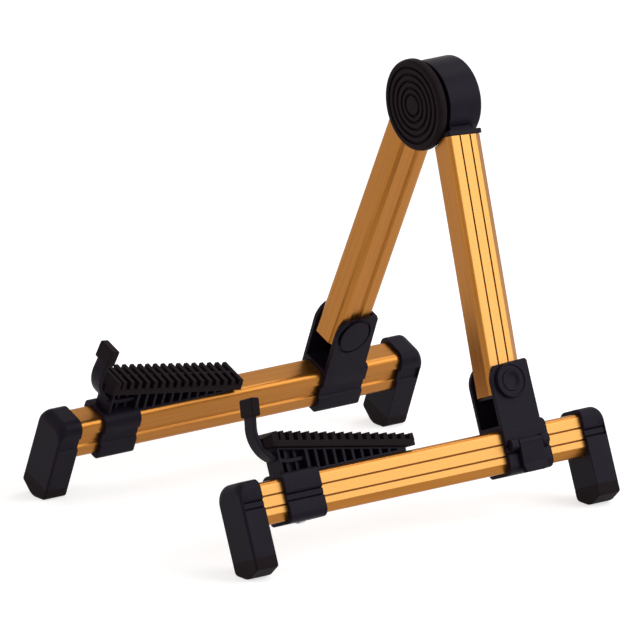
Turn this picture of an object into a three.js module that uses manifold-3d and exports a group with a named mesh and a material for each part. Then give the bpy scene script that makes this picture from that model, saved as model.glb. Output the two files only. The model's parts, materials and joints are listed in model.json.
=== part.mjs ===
import * as THREE from 'three';
import { mergeVertices } from 'three/addons/utils/BufferGeometryUtils.js';
import Module from 'manifold-3d';

const wasm = await Module();
wasm.setup();

// A folding guitar stand: two upright tubes meet at a hub, and each stands in
// a bracket on a long rail. Lengths are in millimetres. Each half is drawn in
// its own flat frame: x runs outward from the middle plane of the hub, y runs
// to the rear, and z runs up, with zero on the hub's axis.

// Stance
const spreadHalfAngle = THREE.MathUtils.degToRad(22);
const leanAngle = THREE.MathUtils.degToRad(4.2);
const railLength = 335;
const pinDrop = 214;
const pinSetback = 91.4;
const railBelowPin = 34.3;
const tubeOffset = 5.2;

// Aluminium tube, the same extrusion for rails and uprights
const tubeWidth = 22.5;
const tubeHeight = 31.5;
const tubeWall = 1.6;
const tubeInnerRound = 7;
const tubeLowerRound = 4.5;
const tubeOuterRoundDrop = 4.7;
const tubeOuterRoundWidth = 3.2;
const tubeBevelWidth = 4;
const tubeCavityRound = 4;
const bevelHeightShare = 0.2;
const lineDropShares = [0.343, 0.629];
const lineWidth = 0.8;
const lineDepth = 0.6;
const recessDropShare = 0.356;
const recessHeightShare = 0.254;
const recessDepth = 1.8;
const recessSlope = 1;

// Clearances and cutting overrun
const slipGap = 0.3;
const turnGap = 0.4;
const overrun = 1;

// Feet
const footDepth = 20;
const footWall = 3.5;
const footTopWall = 3.2;
const footEndWall = 4;
const footInnerRound = 9;
const footOuterRound = 5;
const footLegDrop = 22.3;
const footLegWall = 3.2;
const soleSide = 8.6;
const solePlugHeight = 8;

// Bands moulded round the outer face of the feet and sleeves
const bandDrop = 10.8;
const bandHeight = 6.4;
const bandDepth = 0.5;

// Recess along their inner face, which follows the rail's own recess
const innerBandDepth = 1.6;
const innerBandSlope = 1.4;

// Bracket, measured from the tube that it holds
const cheekWall = 3.3;
const cheekGap = 0.4;
const cheekLead = 0.85;
const cheekTrail = 3.45;
const cheekRise = 14.2;
const cheekFrontRound = 12.5;
const sleeveTrail = 3.8;
const sleeveTopWall = 3.3;
const sleeveBottomWall = 2.6;
const sleeveRound = 4;
const stopThickness = 2.1;
const webThickness = 2.6;
const tubeTail = 9;
const tailClearance = 3.2;

// Pivot pin and its caps
const pinRadius = 4;
const capRadius = 13;
const outerCapThickness = 2.8;
const innerCapThickness = 0.9;
const capDish = 0.8;
const capRingWidth = 3.4;
const capRimWidth = 1.2;

// Clamp lever
const leverPinDrop = 12.2;
const leverPinOut = 1.8;
const leverPinRadius = 1.3;
const knuckleRadius = 2.9;
const leverThickness = 2.4;
const leverFront = 7;
const leverRear = 14;
const leverLength = 22.4;
const leverLip = 2.2;
const leverLipHeight = 2.6;
const earWidth = 6.6;
const earHeight = 7.4;
const earOut = 4.1;

// Hub
const padForward = 23.6;
const padRadius = 34.5;
const padThickness = 4.6;
const padRingRadii = [8.1, 12.6, 18.3, 23.3, 28.4];
const padRingWidth = 1.4;
const padRingDepth = 1.1;
const padEdgeRound = 1.6;
const padSkirtWall = 1.5;
const carrierThickness = 4.6;
const hubGap = 2.6;
const drumRadius = 31.5;
const drumThickness = 30;
const drumEdgeRound = 2.2;
const headSink = 1.5;
const neckWall = 1.6;
const neckHeight = 7.6;
const notchGap = 0.5;
const headPlugLength = 26;
const hubBoltRadius = 4;
const boltHeadRadius = 7.4;
const boltHeadThickness = 3.4;
const nutRadius = 7.4;
const nutThickness = 5;
const washerRadius = 9;
const washerThickness = 1.6;
const nutRecessRadius = 10.5;
const nutRecessDepth = 8.6;
const rearCapRadius = 14;
const rearCapThickness = 1.8;
const rearCapPlug = 1.2;
const lugInnerRadius = 19;
const lugOuterRadius = 25;
const lugDepth = 3;
const lugHalfAngle = THREE.MathUtils.degToRad(6);

// Screws
const screwRadius = 1.7;
const screwHeadRadius = 3.6;
const screwHeadThickness = 1.8;
const screwLength = 9;
const headScrewDrop = 12;

// Cradle, measured from the front of its sleeve and the top of the rail
const cradleSetback = 41;
const cradleLength = 33;
const cradleBodyWidth = 17;
const cradleNose = 7;
const cradleFootBack = 5.5;
const cradlePlate = 2;
const cradleWeb = 3;
const wedgeLength = 117.5;
const ribPitch = 7.5;
const ribWidth = 2.7;
const stemRise = 11;
const stemThickness = 3.4;
const stemLength = 29;
const hookWidth = 12;
const hookForward = 8.1;
const hookBendRadius = 20;
const hookKneeRise = 31.5;
const hookRise = 59;
const hookLeanBack = 4.2;
const tipWidth = 16;
const tipThickness = 7.4;
const tipHeight = 13.6;
const tipOverlap = 11;
const tipBevel = 2.4;

// Toothed rubber pad on the cradle
const padStripWidth = 24;
const padStripForward = 4.5;
const padStripLength = 128;
const padStripFrontRise = 24.2;
const padStripRearRise = 2.4;
const padStripThickness = 4.9;
const toothCount = 16;
const toothInset = 14.5;
const toothPitch = 7.5;
const toothWidth = 3.6;
const toothTopWidth = 2.4;
const toothFrontHeight = 7.2;
const toothRearHeight = 4.4;
const padNoseLength = 11;
const padNoseDrop = 3.4;
const padSpineWidth = 2.2;
const padSpineShare = 0.86;

// Finishes
const gold = { color: 0xd8922c, roughness: 0.34, metalness: 0.9 };
const plastic = { color: 0x24242b, roughness: 0.5, metalness: 0 };
const rubber = { color: 0x1f1b1c, roughness: 0.85, metalness: 0 };
const steel = { color: 0x8d8f94, roughness: 0.35, metalness: 1 };

// Steps of round shapes
const smallRound = 4;
const fullRound = 36;
const boltRound = 16;
const hexSides = 6;

// Places that several pieces share
const pinHeight = -pinDrop;
const railTop = pinHeight - railBelowPin;
const railBottom = railTop - tubeHeight;
const railHalf = railLength / 2;
const railTubeHalf = railHalf - footEndWall;
const tubeInner = tubeOffset;
const tubeOuter = tubeOffset + tubeWidth;
const tubeMiddle = (tubeInner + tubeOuter) / 2;
const tubeHalf = tubeHeight / 2;
const footInner = tubeInner - footWall;
const footOuter = tubeOuter + footWall;
const soleLine = railBottom - footLegDrop;
const soleSideBottom = soleLine - soleSide;
const soleBottom = soleSideBottom - Math.tan(spreadHalfAngle) * (footOuter - tubeMiddle);
const hubHeight = -soleBottom * Math.cos(spreadHalfAngle) - tubeMiddle * Math.sin(spreadHalfAngle);
const cheekInner = tubeInner - cheekGap - cheekWall;
const cheekOuter = tubeOuter + cheekGap + cheekWall;
const padFace = pinSetback + Math.tan(leanAngle) * pinDrop - padForward;
const carrierFront = padFace + padThickness;
const carrierRear = carrierFront + carrierThickness;
const drumFront = carrierRear + hubGap;
const drumRear = drumFront + drumThickness;
const carrierRadius = padRadius - padSkirtWall - slipGap;
const headDrop = drumRadius - headSink;
const uprightTop = (pinDrop - headDrop) / Math.cos(leanAngle);

// Solids from closed meshes, and meshes from solids
function solid(geometry) {
  const bare = geometry.clone();
  bare.deleteAttribute('normal');
  bare.deleteAttribute('uv');
  const merged = mergeVertices(bare);
  return new wasm.Manifold(new wasm.Mesh({
    numProp: 3,
    vertProperties: new Float32Array(merged.attributes.position.array),
    triVerts: new Uint32Array(merged.index.array),
  }));
}

function geometryOf(body) {
  const mesh = body.getMesh();
  const geometry = new THREE.BufferGeometry();
  geometry.setAttribute('position', new THREE.BufferAttribute(new Float32Array(mesh.vertProperties), 3));
  geometry.setIndex(new THREE.BufferAttribute(new Uint32Array(mesh.triVerts), 1));
  return geometry;
}

function mirrored(geometry) {
  const copy = geometry.clone();
  copy.scale(-1, 1, 1);
  const index = copy.index.array;
  for (let corner = 0; corner < index.length; corner += 3) {
    const kept = index[corner + 1];
    index[corner + 1] = index[corner + 2];
    index[corner + 2] = kept;
  }
  return copy;
}

function joined(...bodies) {
  return bodies.reduce((sum, body) => sum.add(body));
}

function cut(body, ...tools) {
  return tools.reduce((rest, tool) => rest.subtract(tool), body);
}

// Blocks, prisms and cylinders in a half's frame
function block(x0, x1, y0, y1, z0, z1) {
  const geometry = new THREE.BoxGeometry(x1 - x0, y1 - y0, z1 - z0);
  geometry.translate((x0 + x1) / 2, (y0 + y1) / 2, (z0 + z1) / 2);
  return solid(geometry);
}

function prism(shape, length) {
  return new THREE.ExtrudeGeometry(shape, {
    depth: length,
    bevelEnabled: false,
    curveSegments: smallRound,
  });
}

function alongX(shape, x0, x1) {
  const geometry = prism(shape, x1 - x0);
  geometry.applyMatrix4(new THREE.Matrix4().makeBasis(
    new THREE.Vector3(0, 1, 0), new THREE.Vector3(0, 0, 1), new THREE.Vector3(1, 0, 0)));
  geometry.translate(x0, 0, 0);
  return solid(geometry);
}

function alongY(shape, y0, y1) {
  const geometry = prism(shape, y1 - y0);
  geometry.applyMatrix4(new THREE.Matrix4().makeBasis(
    new THREE.Vector3(1, 0, 0), new THREE.Vector3(0, 0, 1), new THREE.Vector3(0, -1, 0)));
  geometry.translate(0, y1, 0);
  return solid(geometry);
}

function alongZ(shape, z0, z1) {
  const geometry = prism(shape, z1 - z0);
  geometry.translate(0, 0, z0);
  return solid(geometry);
}

function rodX(radius, x0, x1, y, z, sides = boltRound) {
  const geometry = new THREE.CylinderGeometry(radius, radius, x1 - x0, sides);
  geometry.rotateZ(Math.PI / 2);
  geometry.translate((x0 + x1) / 2, y, z);
  return solid(geometry);
}

function rodY(radius, y0, y1, x, z, sides = boltRound) {
  const geometry = new THREE.CylinderGeometry(radius, radius, y1 - y0, sides);
  geometry.translate(x, (y0 + y1) / 2, z);
  return solid(geometry);
}

function rodZ(radius, z0, z1, x, y, sides = boltRound) {
  const geometry = new THREE.CylinderGeometry(radius, radius, z1 - z0, sides);
  geometry.rotateX(Math.PI / 2);
  geometry.translate(x, y, (z0 + z1) / 2);
  return solid(geometry);
}

// Discs and rings about the hub's axis
function hubDisc(radius, y0, y1) {
  return rodY(radius, y0, y1, 0, 0, fullRound);
}

function hubRing(inner, outer, y0, y1) {
  return cut(hubDisc(outer, y0, y1), hubDisc(inner, y0 - overrun, y1 + overrun));
}

function roundedDisc(radius, y0, y1, edge) {
  const profile = [new THREE.Vector2(0, y0)];
  for (const [edgeY, turn] of [[y0 + edge, -1], [y1 - edge, 0]]) {
    for (let step = 0; step <= smallRound; step += 1) {
      const angle = (Math.PI / 2) * (step / smallRound + turn);
      profile.push(new THREE.Vector2(radius - edge + edge * Math.cos(angle), edgeY + edge * Math.sin(angle)));
    }
  }
  profile.push(new THREE.Vector2(0, y1));
  return solid(new THREE.LatheGeometry(profile, fullRound));
}

// A slice of a ring, between two angles that run from x to z
function hubSector(inner, outer, start, end, y0, y1) {
  const shape = new THREE.Shape();
  shape.absarc(0, 0, outer, start, end, false);
  shape.absarc(0, 0, inner, end, start, true);
  return alongY(shape, y0, y1);
}

// The frame of a leaning upright: its zero is the pin, and z runs up the tube
const leaning = new THREE.Matrix4().makeRotationX(-leanAngle);
leaning.setPosition(0, pinSetback, pinHeight);

function leaned(body) {
  const geometry = geometryOf(body);
  geometry.applyMatrix4(leaning);
  return solid(geometry);
}

// Tube section: u runs from the inner face outward, v from the lower edge up.
// The grown outline is the one that a sleeve or cap leaves free round it.
function tubeOutline(grow, place) {
  const shape = new THREE.Shape();
  const left = -grow;
  const right = tubeWidth + grow;
  const low = -grow;
  const high = tubeHeight + grow;
  const recessHigh = tubeHeight * (1 - recessDropShare) - grow;
  const recessLow = tubeHeight * (1 - recessDropShare - recessHeightShare) + grow;
  const move = (u, v) => shape.moveTo(...place(u, v));
  const line = (u, v) => shape.lineTo(...place(u, v));
  const curve = (cu, cv, u, v) => shape.quadraticCurveTo(...place(cu, cv), ...place(u, v));
  move(tubeLowerRound, low);
  line(right - tubeBevelWidth, low);
  line(right, tubeHeight * bevelHeightShare);
  if (grow === 0) {
    for (const share of [...lineDropShares].reverse()) {
      const middle = tubeHeight * (1 - share);
      line(right, middle - lineWidth / 2);
      line(right - lineDepth, middle - lineWidth / 4);
      line(right - lineDepth, middle + lineWidth / 4);
      line(right, middle + lineWidth / 2);
    }
  }
  line(right, high - tubeOuterRoundDrop);
  curve(right, high, right - tubeOuterRoundWidth, high);
  line(left + tubeInnerRound, high);
  curve(left, high, left, high - tubeInnerRound);
  line(left, recessHigh + recessSlope);
  line(recessDepth - grow, recessHigh);
  line(recessDepth - grow, recessLow);
  line(left, recessLow - recessSlope);
  line(left, tubeLowerRound);
  curve(left, low, tubeLowerRound, low);
  return shape;
}

// The tube's hollow, or with a shrink the plug that fits in it
function cavityOutline(shrink, place) {
  const left = tubeWall + recessDepth + shrink;
  const right = tubeWidth - tubeWall - lineDepth - shrink;
  const low = tubeWall + shrink;
  const high = tubeHeight - tubeWall - shrink;
  const corners = [
    [left + tubeCavityRound, low],
    [right - tubeCavityRound, low],
    [right, low + tubeCavityRound],
    [right, high - tubeCavityRound],
    [right - tubeCavityRound, high],
    [left + tubeCavityRound, high],
    [left, high - tubeCavityRound],
    [left, low + tubeCavityRound],
  ];
  return new THREE.Shape(corners.map(([u, v]) => new THREE.Vector2(...place(u, v))));
}

// On an upright the rail's upper edge faces the front
const onRail = (u, v) => [tubeInner + u, railBottom + v];
const onUpright = (u, v) => [tubeInner + u, tubeHalf - v];

function railStretch(grow, y0, y1) {
  return alongY(tubeOutline(grow, onRail), y0, y1);
}

// The outer face of a foot or sleeve, drawn upward, with a shallow band on it
function bandedFace(shape, outer) {
  const bandTop = railTop - bandDrop;
  const bandBottom = bandTop - bandHeight;
  shape.lineTo(outer, bandBottom - bandDepth);
  shape.lineTo(outer - bandDepth, bandBottom);
  shape.lineTo(outer - bandDepth, bandTop);
  shape.lineTo(outer, bandTop + bandDepth);
}

// Their inner face, drawn downward, with the recess
function recessedFace(shape, inner) {
  const recessTop = railTop - tubeHeight * recessDropShare;
  const recessBottom = recessTop - tubeHeight * recessHeightShare;
  shape.lineTo(inner, recessTop + innerBandSlope);
  shape.lineTo(inner + innerBandDepth, recessTop);
  shape.lineTo(inner + innerBandDepth, recessBottom);
  shape.lineTo(inner, recessBottom - innerBandSlope);
}

function roundedTop(shape, inner, outer, top, innerRound, outerRound) {
  shape.lineTo(outer, top - outerRound);
  shape.quadraticCurveTo(outer, top, outer - outerRound, top);
  shape.lineTo(inner + innerRound, top);
  shape.quadraticCurveTo(inner, top, inner, top - innerRound);
}

// A sleeve round the rail, with rounded corners
function sleeveOutline(inner, outer, innerRound) {
  const shape = new THREE.Shape();
  shape.moveTo(inner + sleeveRound, sleeveBottom);
  shape.lineTo(outer - sleeveRound, sleeveBottom);
  shape.quadraticCurveTo(outer, sleeveBottom, outer, sleeveBottom + sleeveRound);
  bandedFace(shape, outer);
  roundedTop(shape, inner, outer, sleeveTop, innerRound, sleeveRound);
  recessedFace(shape, inner);
  shape.lineTo(inner, sleeveBottom + sleeveRound);
  shape.quadraticCurveTo(inner, sleeveBottom, inner + sleeveRound, sleeveBottom);
  return shape;
}

const sleeveTop = railTop + sleeveTopWall;
const sleeveBottom = railBottom - sleeveBottomWall;

// Rail: a plain length of tube, drilled below for the cradle's screw
const cradleFront = cradleSetback - railHalf;
const cradleRear = cradleFront + cradleLength;
const cradleScrewY = (cradleFront + cradleRear) / 2;

function railTube() {
  const cavity = alongY(cavityOutline(0, onRail), -railHalf - overrun, railHalf + overrun);
  const drill = rodZ(
    screwRadius + slipGap, railBottom - overrun, railBottom + tubeWall + overrun,
    tubeMiddle, cradleScrewY);
  return cut(railStretch(0, slipGap - railTubeHalf, railTubeHalf - slipGap), cavity, drill);
}

// Foot: a cap over the rail's end whose hollow leg takes the rubber sole.
// The end is 1 at the rear and -1 at the front.
const footStart = (end) => (end > 0 ? railHalf - footDepth : -railHalf);

function footCap(end) {
  const outline = new THREE.Shape();
  outline.moveTo(footInner, soleLine);
  outline.lineTo(footOuter, soleLine);
  bandedFace(outline, footOuter);
  roundedTop(outline, footInner, footOuter, railTop + footTopWall, footInnerRound, footOuterRound);
  recessedFace(outline, footInner);
  const y0 = footStart(end);
  const y1 = y0 + footDepth;
  const socket = end > 0
    ? railStretch(slipGap, y0 - overrun, railTubeHalf)
    : railStretch(slipGap, -railTubeHalf, y1 + overrun);
  const legHollow = block(
    footInner + footLegWall, footOuter - footLegWall,
    y0 + footLegWall, y1 - footLegWall,
    soleLine - overrun, railBottom - footLegWall);
  return cut(alongY(outline, y0, y1), socket, legHollow);
}

// Sole: its underside is a shallow V, so one side of it lies flat on the floor
function sole(end) {
  const outline = new THREE.Shape();
  outline.moveTo(footInner, soleLine - slipGap);
  outline.lineTo(footInner, soleSideBottom);
  outline.lineTo(tubeMiddle, soleBottom);
  outline.lineTo(footOuter, soleSideBottom);
  outline.lineTo(footOuter, soleLine - slipGap);
  const y0 = footStart(end);
  const y1 = y0 + footDepth;
  const inset = footLegWall + slipGap;
  const plug = block(
    footInner + inset, footOuter - inset,
    y0 + inset, y1 - inset,
    soleLine - soleSide / 2, soleLine + solePlugHeight);
  return joined(alongY(outline, y0, y1), plug);
}

// Bracket: two cheeks stand on a sleeve round the rail. A stop between their
// rear edges keeps the upright from leaning back, and the space under the
// stop lets the tube's lower end swing through when the stand folds.
const bracketFront = pinSetback - tubeHalf - cheekLead;
const bracketRear = pinSetback + tubeHalf + cheekTrail;
const sleeveRear = bracketRear + sleeveTrail;
const cheekTop = pinHeight + cheekRise;
const leverPinZ = railTop - leverPinDrop;
const leverPinX = cheekOuter + leverPinOut;
const leverY0 = pinSetback - leverFront;
const leverY1 = pinSetback + leverRear;

function cheek(x0, x1) {
  const shape = new THREE.Shape();
  shape.moveTo(bracketFront, railTop);
  shape.lineTo(bracketRear, railTop);
  shape.lineTo(bracketRear, cheekTop);
  shape.lineTo(bracketFront + cheekFrontRound, cheekTop);
  shape.quadraticCurveTo(bracketFront, cheekTop, bracketFront, cheekTop - cheekFrontRound);
  return alongX(shape, x0, x1);
}

// The stop starts above the highest point that the tube's heel swings to
function uprightStop() {
  const swing = Math.hypot(tubeHalf, tubeTail);
  const low = Math.sqrt(swing ** 2 - tubeHalf ** 2) + slipGap;
  const face = tubeHalf + slipGap;
  const plate = leaned(block(
    cheekInner + cheekWall / 2, cheekOuter - cheekWall / 2,
    face, face + stopThickness + overrun,
    low, cheekRise + overrun));
  return plate.intersect(block(cheekInner, cheekOuter, bracketFront, bracketRear, sleeveTop, cheekTop));
}

function leverEar(y0) {
  return block(
    cheekOuter - cheekWall / 2, cheekOuter + earOut,
    y0, y0 + earWidth,
    leverPinZ - earHeight / 2, leverPinZ + earHeight / 2);
}

function bracket() {
  const sleeve = alongY(sleeveOutline(cheekInner, cheekOuter, sleeveRound), bracketFront, sleeveRear);
  const web = block(
    cheekInner + cheekWall / 2, cheekOuter - cheekWall / 2,
    bracketRear - webThickness, bracketRear,
    railTop + slipGap, pinHeight - tubeTail - tailClearance);
  const body = joined(
    sleeve,
    cheek(cheekInner, cheekInner + cheekWall),
    cheek(cheekOuter - cheekWall, cheekOuter),
    uprightStop(),
    web,
    leverEar(leverY0 - slipGap - earWidth),
    leverEar(leverY1 + slipGap));
  const railSpace = railStretch(slipGap, bracketFront - overrun, sleeveRear + overrun);
  const pinBore = rodX(
    pinRadius + slipGap, cheekInner - overrun, cheekOuter + overrun,
    pinSetback, pinHeight);
  const knuckleSpace = rodY(
    knuckleRadius + turnGap, leverY0 - slipGap, leverY1 + slipGap,
    leverPinX, leverPinZ);
  const leverBore = rodY(
    leverPinRadius + slipGap, leverY0 - earWidth - overrun, leverY1 + earWidth + overrun,
    leverPinX, leverPinZ);
  return cut(body, railSpace, pinBore, knuckleSpace, leverBore);
}

// Clamp lever: a flat flap that hangs from its pin and swings outward
function clampLever() {
  const x0 = leverPinX - leverThickness / 2;
  const x1 = leverPinX + leverThickness / 2;
  const low = leverPinZ - leverLength;
  const flap = joined(
    rodY(knuckleRadius, leverY0, leverY1, leverPinX, leverPinZ),
    block(x0, x1, leverY0, leverY1, low, leverPinZ),
    block(x0, x1 + leverLip, leverY0, leverY1, low, low + leverLipHeight));
  const bore = rodY(
    leverPinRadius + slipGap, leverY0 - overrun, leverY1 + overrun,
    leverPinX, leverPinZ);
  return cut(flap, bore);
}

function leverPin() {
  return rodY(leverPinRadius, leverY0 - earWidth, leverY1 + earWidth, leverPinX, leverPinZ);
}

// Pivot pin and the two caps that cover its ends. A plain sunk ring runs
// round the face of the outer one.
function pivotPin() {
  return rodX(pinRadius, cheekInner, cheekOuter, pinSetback, pinHeight);
}

function pinDisc(radius, x0, x1) {
  return rodX(radius, x0, x1, pinSetback, pinHeight, fullRound);
}

function outerCap() {
  const x0 = cheekOuter + slipGap;
  const x1 = x0 + outerCapThickness;
  const ringOuter = capRadius - capRimWidth;
  const ring = cut(
    pinDisc(ringOuter, x1 - capDish, x1 + overrun),
    pinDisc(ringOuter - capRingWidth, x1 - capDish - overrun, x1 + overrun * 2));
  return cut(pinDisc(capRadius, x0, x1), ring);
}

function innerCap() {
  const x1 = cheekInner - slipGap;
  return pinDisc(capRadius, x1 - innerCapThickness, x1);
}

// The space that the hub's discs keep free among the tubes and necks
const hubClearRadius = Math.max(padRadius, drumRadius) + notchGap;
const hubClearFront = padFace - tubeHeight;
const hubClearRear = drumRear + tubeHeight;

// Upright: the tube's upper inner corner is notched round to clear the hub
function headScrewHole(radius) {
  return rodY(radius, 0, tubeHalf + overrun, tubeMiddle, uprightTop - headScrewDrop);
}

function pinHole() {
  return rodX(pinRadius + slipGap, tubeInner - overrun, tubeOuter + overrun, 0, 0);
}

function uprightTube() {
  const stretch = alongZ(tubeOutline(0, onUpright), -tubeTail, uprightTop);
  const cavity = alongZ(cavityOutline(0, onUpright), -tubeTail - overrun, uprightTop + overrun);
  const tube = leaned(cut(stretch, cavity, pinHole(), headScrewHole(screwRadius + slipGap)));
  return cut(tube, hubDisc(hubClearRadius, hubClearFront, hubClearRear));
}

// Plug in the lower end of the upright, with a flange under the tube
function endPlug() {
  const plug = alongZ(cavityOutline(slipGap, onUpright), -tubeTail - slipGap * 2, tubeTail);
  const inset = tubeInnerRound / 2;
  const flange = block(
    tubeInner + slipGap, tubeOuter - slipGap,
    inset - tubeHalf, tubeHalf - inset,
    -tubeTail - slipGap - tubeWall, -tubeTail - slipGap);
  return leaned(cut(joined(plug, flange), pinHole()));
}

// The neck that joins a head to its tube: a block over the tube's end and a
// plug inside it, both leaning with the tube
function neckBlock(grow, bottom) {
  return block(
    tubeInner - neckWall - grow, tubeOuter + neckWall + grow,
    -tubeHalf - neckWall / 2 - grow, tubeHalf + neckWall / 2 + grow,
    bottom, uprightTop + neckHeight + grow);
}

function neck() {
  const collar = neckBlock(0, uprightTop + slipGap);
  const plug = alongZ(
    cavityOutline(slipGap, onUpright), uprightTop - headPlugLength, uprightTop + neckHeight / 2);
  return leaned(joined(collar, cut(plug, headScrewHole(screwRadius))));
}

// Right head: the drum behind, with the nut's recess and the slot of the stop
const lugAngle = Math.PI / 2 - spreadHalfAngle;

function drumHead() {
  const drum = roundedDisc(drumRadius, drumFront, drumRear, drumEdgeRound);
  const discSpace = hubDisc(hubClearRadius, hubClearFront, drumFront);
  const slot = hubSector(
    lugInnerRadius - turnGap, lugOuterRadius + turnGap,
    lugAngle - lugHalfAngle * 2, lugAngle + spreadHalfAngle * 2 + lugHalfAngle * 2,
    drumFront - overrun, drumFront + lugDepth + turnGap);
  return cut(
    joined(drum, cut(neck(), discSpace)),
    slot,
    rodY(hubBoltRadius + slipGap, drumFront - overrun, drumRear + overrun, 0, 0),
    hubDisc(nutRecessRadius, drumRear - nutRecessDepth, drumRear + overrun));
}

// Left head: the carrier disc in front, with the stop's lug on its back
function carrierHead() {
  const disc = hubDisc(carrierRadius, carrierFront, carrierRear);
  const tongue = cut(
    neck(),
    hubDisc(drumRadius + notchGap, carrierRear, hubClearRear),
    hubDisc(hubClearRadius, hubClearFront, carrierFront));
  const lug = hubSector(
    lugInnerRadius, lugOuterRadius,
    lugAngle - lugHalfAngle, lugAngle + lugHalfAngle,
    carrierRear - carrierThickness / 2, drumFront + lugDepth);
  return cut(
    joined(disc, tongue, lug),
    rodY(hubBoltRadius + slipGap, carrierFront - overrun, carrierRear + overrun, 0, 0),
    rodY(boltHeadRadius + slipGap, carrierFront - overrun, carrierFront + boltHeadThickness, 0, 0));
}

// Rubber disc on the front of the carrier, with rings cut in its face. Its
// skirt covers the carrier's rim and is open where the neck passes.
function hubPad() {
  const neckSpace = leaned(neckBlock(slipGap, uprightTop - headPlugLength));
  const disc = cut(
    roundedDisc(padRadius, padFace, carrierRear, padEdgeRound),
    hubDisc(carrierRadius + slipGap, carrierFront - slipGap, carrierRear + overrun),
    cut(neckSpace, hubDisc(padRadius + overrun, hubClearFront, carrierFront - slipGap)));
  const rings = padRingRadii.map((radius) => hubRing(
    radius - padRingWidth / 2, radius + padRingWidth / 2,
    padFace - overrun, padFace + padRingDepth));
  return cut(disc, ...rings);
}

// Hub bolt, washer, nut and the cap over them
const washerFront = drumRear - nutRecessDepth + slipGap;
const nutFront = washerFront + washerThickness + slipGap;

function hubBolt() {
  return joined(
    rodY(boltHeadRadius, carrierFront, carrierFront + boltHeadThickness - slipGap, 0, 0, hexSides),
    rodY(hubBoltRadius, carrierFront + slipGap, nutFront + nutThickness, 0, 0));
}

function hubWasher() {
  return cut(
    hubDisc(washerRadius, washerFront, washerFront + washerThickness),
    rodY(hubBoltRadius + slipGap, washerFront - overrun, nutFront, 0, 0));
}

function hubNut() {
  return cut(
    rodY(nutRadius, nutFront, nutFront + nutThickness, 0, 0, hexSides),
    rodY(hubBoltRadius + slipGap, nutFront - overrun, nutFront + nutThickness + overrun, 0, 0));
}

function hubRearCap() {
  const y0 = drumRear + slipGap;
  return joined(
    hubDisc(rearCapRadius, y0, y0 + rearCapThickness),
    hubDisc(nutRecessRadius - slipGap, drumRear - rearCapPlug, y0 + rearCapThickness / 2));
}

// Screws: one through the rear of each tube's top, one under each cradle
function headScrew() {
  const seat = tubeHalf + slipGap;
  const z = uprightTop - headScrewDrop;
  return leaned(joined(
    rodY(screwHeadRadius, seat, seat + screwHeadThickness, tubeMiddle, z),
    rodY(screwRadius - slipGap, seat - screwLength, seat + screwHeadThickness / 2, tubeMiddle, z)));
}

function cradleScrew() {
  const seat = sleeveBottom - slipGap;
  return joined(
    rodZ(screwHeadRadius, seat - screwHeadThickness, seat, tubeMiddle, cradleScrewY),
    rodZ(screwRadius, seat - screwHeadThickness / 2, seat + screwLength, tubeMiddle, cradleScrewY));
}

// Cradle: a sleeve on the rail carries a ribbed wedge and the strip of the
// hook. The strip runs back between the ribs as a middle plate.
const bodyX0 = tubeMiddle - cradleBodyWidth / 2;
const bodyX1 = tubeMiddle + cradleBodyWidth / 2;
const wedgeFront = cradleFront - cradleNose;
const wedgeToe = wedgeFront + cradleFootBack;
const wedgeTail = cradleFront + wedgeLength;
const wedgeFloor = railTop + slipGap;
const stemLevel = railTop + stemRise;
const stemRear = cradleFront + stemLength;
const padFront = cradleFront - padStripForward;
const padRear = padFront + padStripLength;
const padUnder = (y) => railTop + THREE.MathUtils.mapLinear(
  y, padFront, padRear, padStripFrontRise, padStripRearRise);
const wedgeTop = (y) => padUnder(y) - slipGap;

// One window between two ribs, cut from both sides down to the middle web
function wedgeWindow(y0, y1, low, high) {
  const shape = new THREE.Shape();
  shape.moveTo(y0, low(y0));
  shape.lineTo(y1, low(y1));
  shape.lineTo(y1, high(y1));
  shape.lineTo(y0, high(y0));
  return joined(
    alongX(shape, bodyX0 - overrun, tubeMiddle - cradleWeb / 2),
    alongX(shape, tubeMiddle + cradleWeb / 2, bodyX1 + overrun));
}

function wedge() {
  const shape = new THREE.Shape();
  shape.moveTo(wedgeToe, wedgeFloor);
  shape.lineTo(wedgeTail, wedgeFloor);
  shape.lineTo(wedgeTail, wedgeTop(wedgeTail));
  shape.lineTo(cradleFront, wedgeTop(cradleFront));
  shape.lineTo(wedgeFront, stemLevel);
  const floor = () => wedgeFloor + cradlePlate;
  const ceiling = (y) => wedgeTop(y) - cradlePlate;
  const underStem = () => stemLevel - stemThickness / 2;
  const overStem = () => stemLevel + stemThickness / 2;
  const windows = [];
  for (let y0 = wedgeToe + ribWidth; y0 + ribPitch < wedgeTail; y0 += ribPitch) {
    const y1 = y0 + ribPitch - ribWidth;
    if (ceiling(y1) - floor() < cradlePlate) {
      break;
    }
    if (y1 < stemRear) {
      windows.push(wedgeWindow(y0, y1, floor, underStem));
      if (y0 > cradleFront) {
        windows.push(wedgeWindow(y0, y1, overStem, ceiling));
      }
    } else {
      windows.push(wedgeWindow(y0, y1, floor, ceiling));
    }
  }
  return cut(alongX(shape, bodyX0, bodyX1), ...windows);
}

// The hook's strip: along the stem, round the bend and up, leaning back a
// little. Its two upper points are the knee and the end.
const hookY = cradleFront - hookForward;
const hookKnee = new THREE.Vector2(hookY, railTop + hookKneeRise);
const hookEnd = new THREE.Vector2(hookY + hookLeanBack, railTop + hookRise);
const hookUp = hookEnd.clone().sub(hookKnee).normalize();
const hookX0 = tubeMiddle - hookWidth / 2;
const hookX1 = tubeMiddle + hookWidth / 2;

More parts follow.
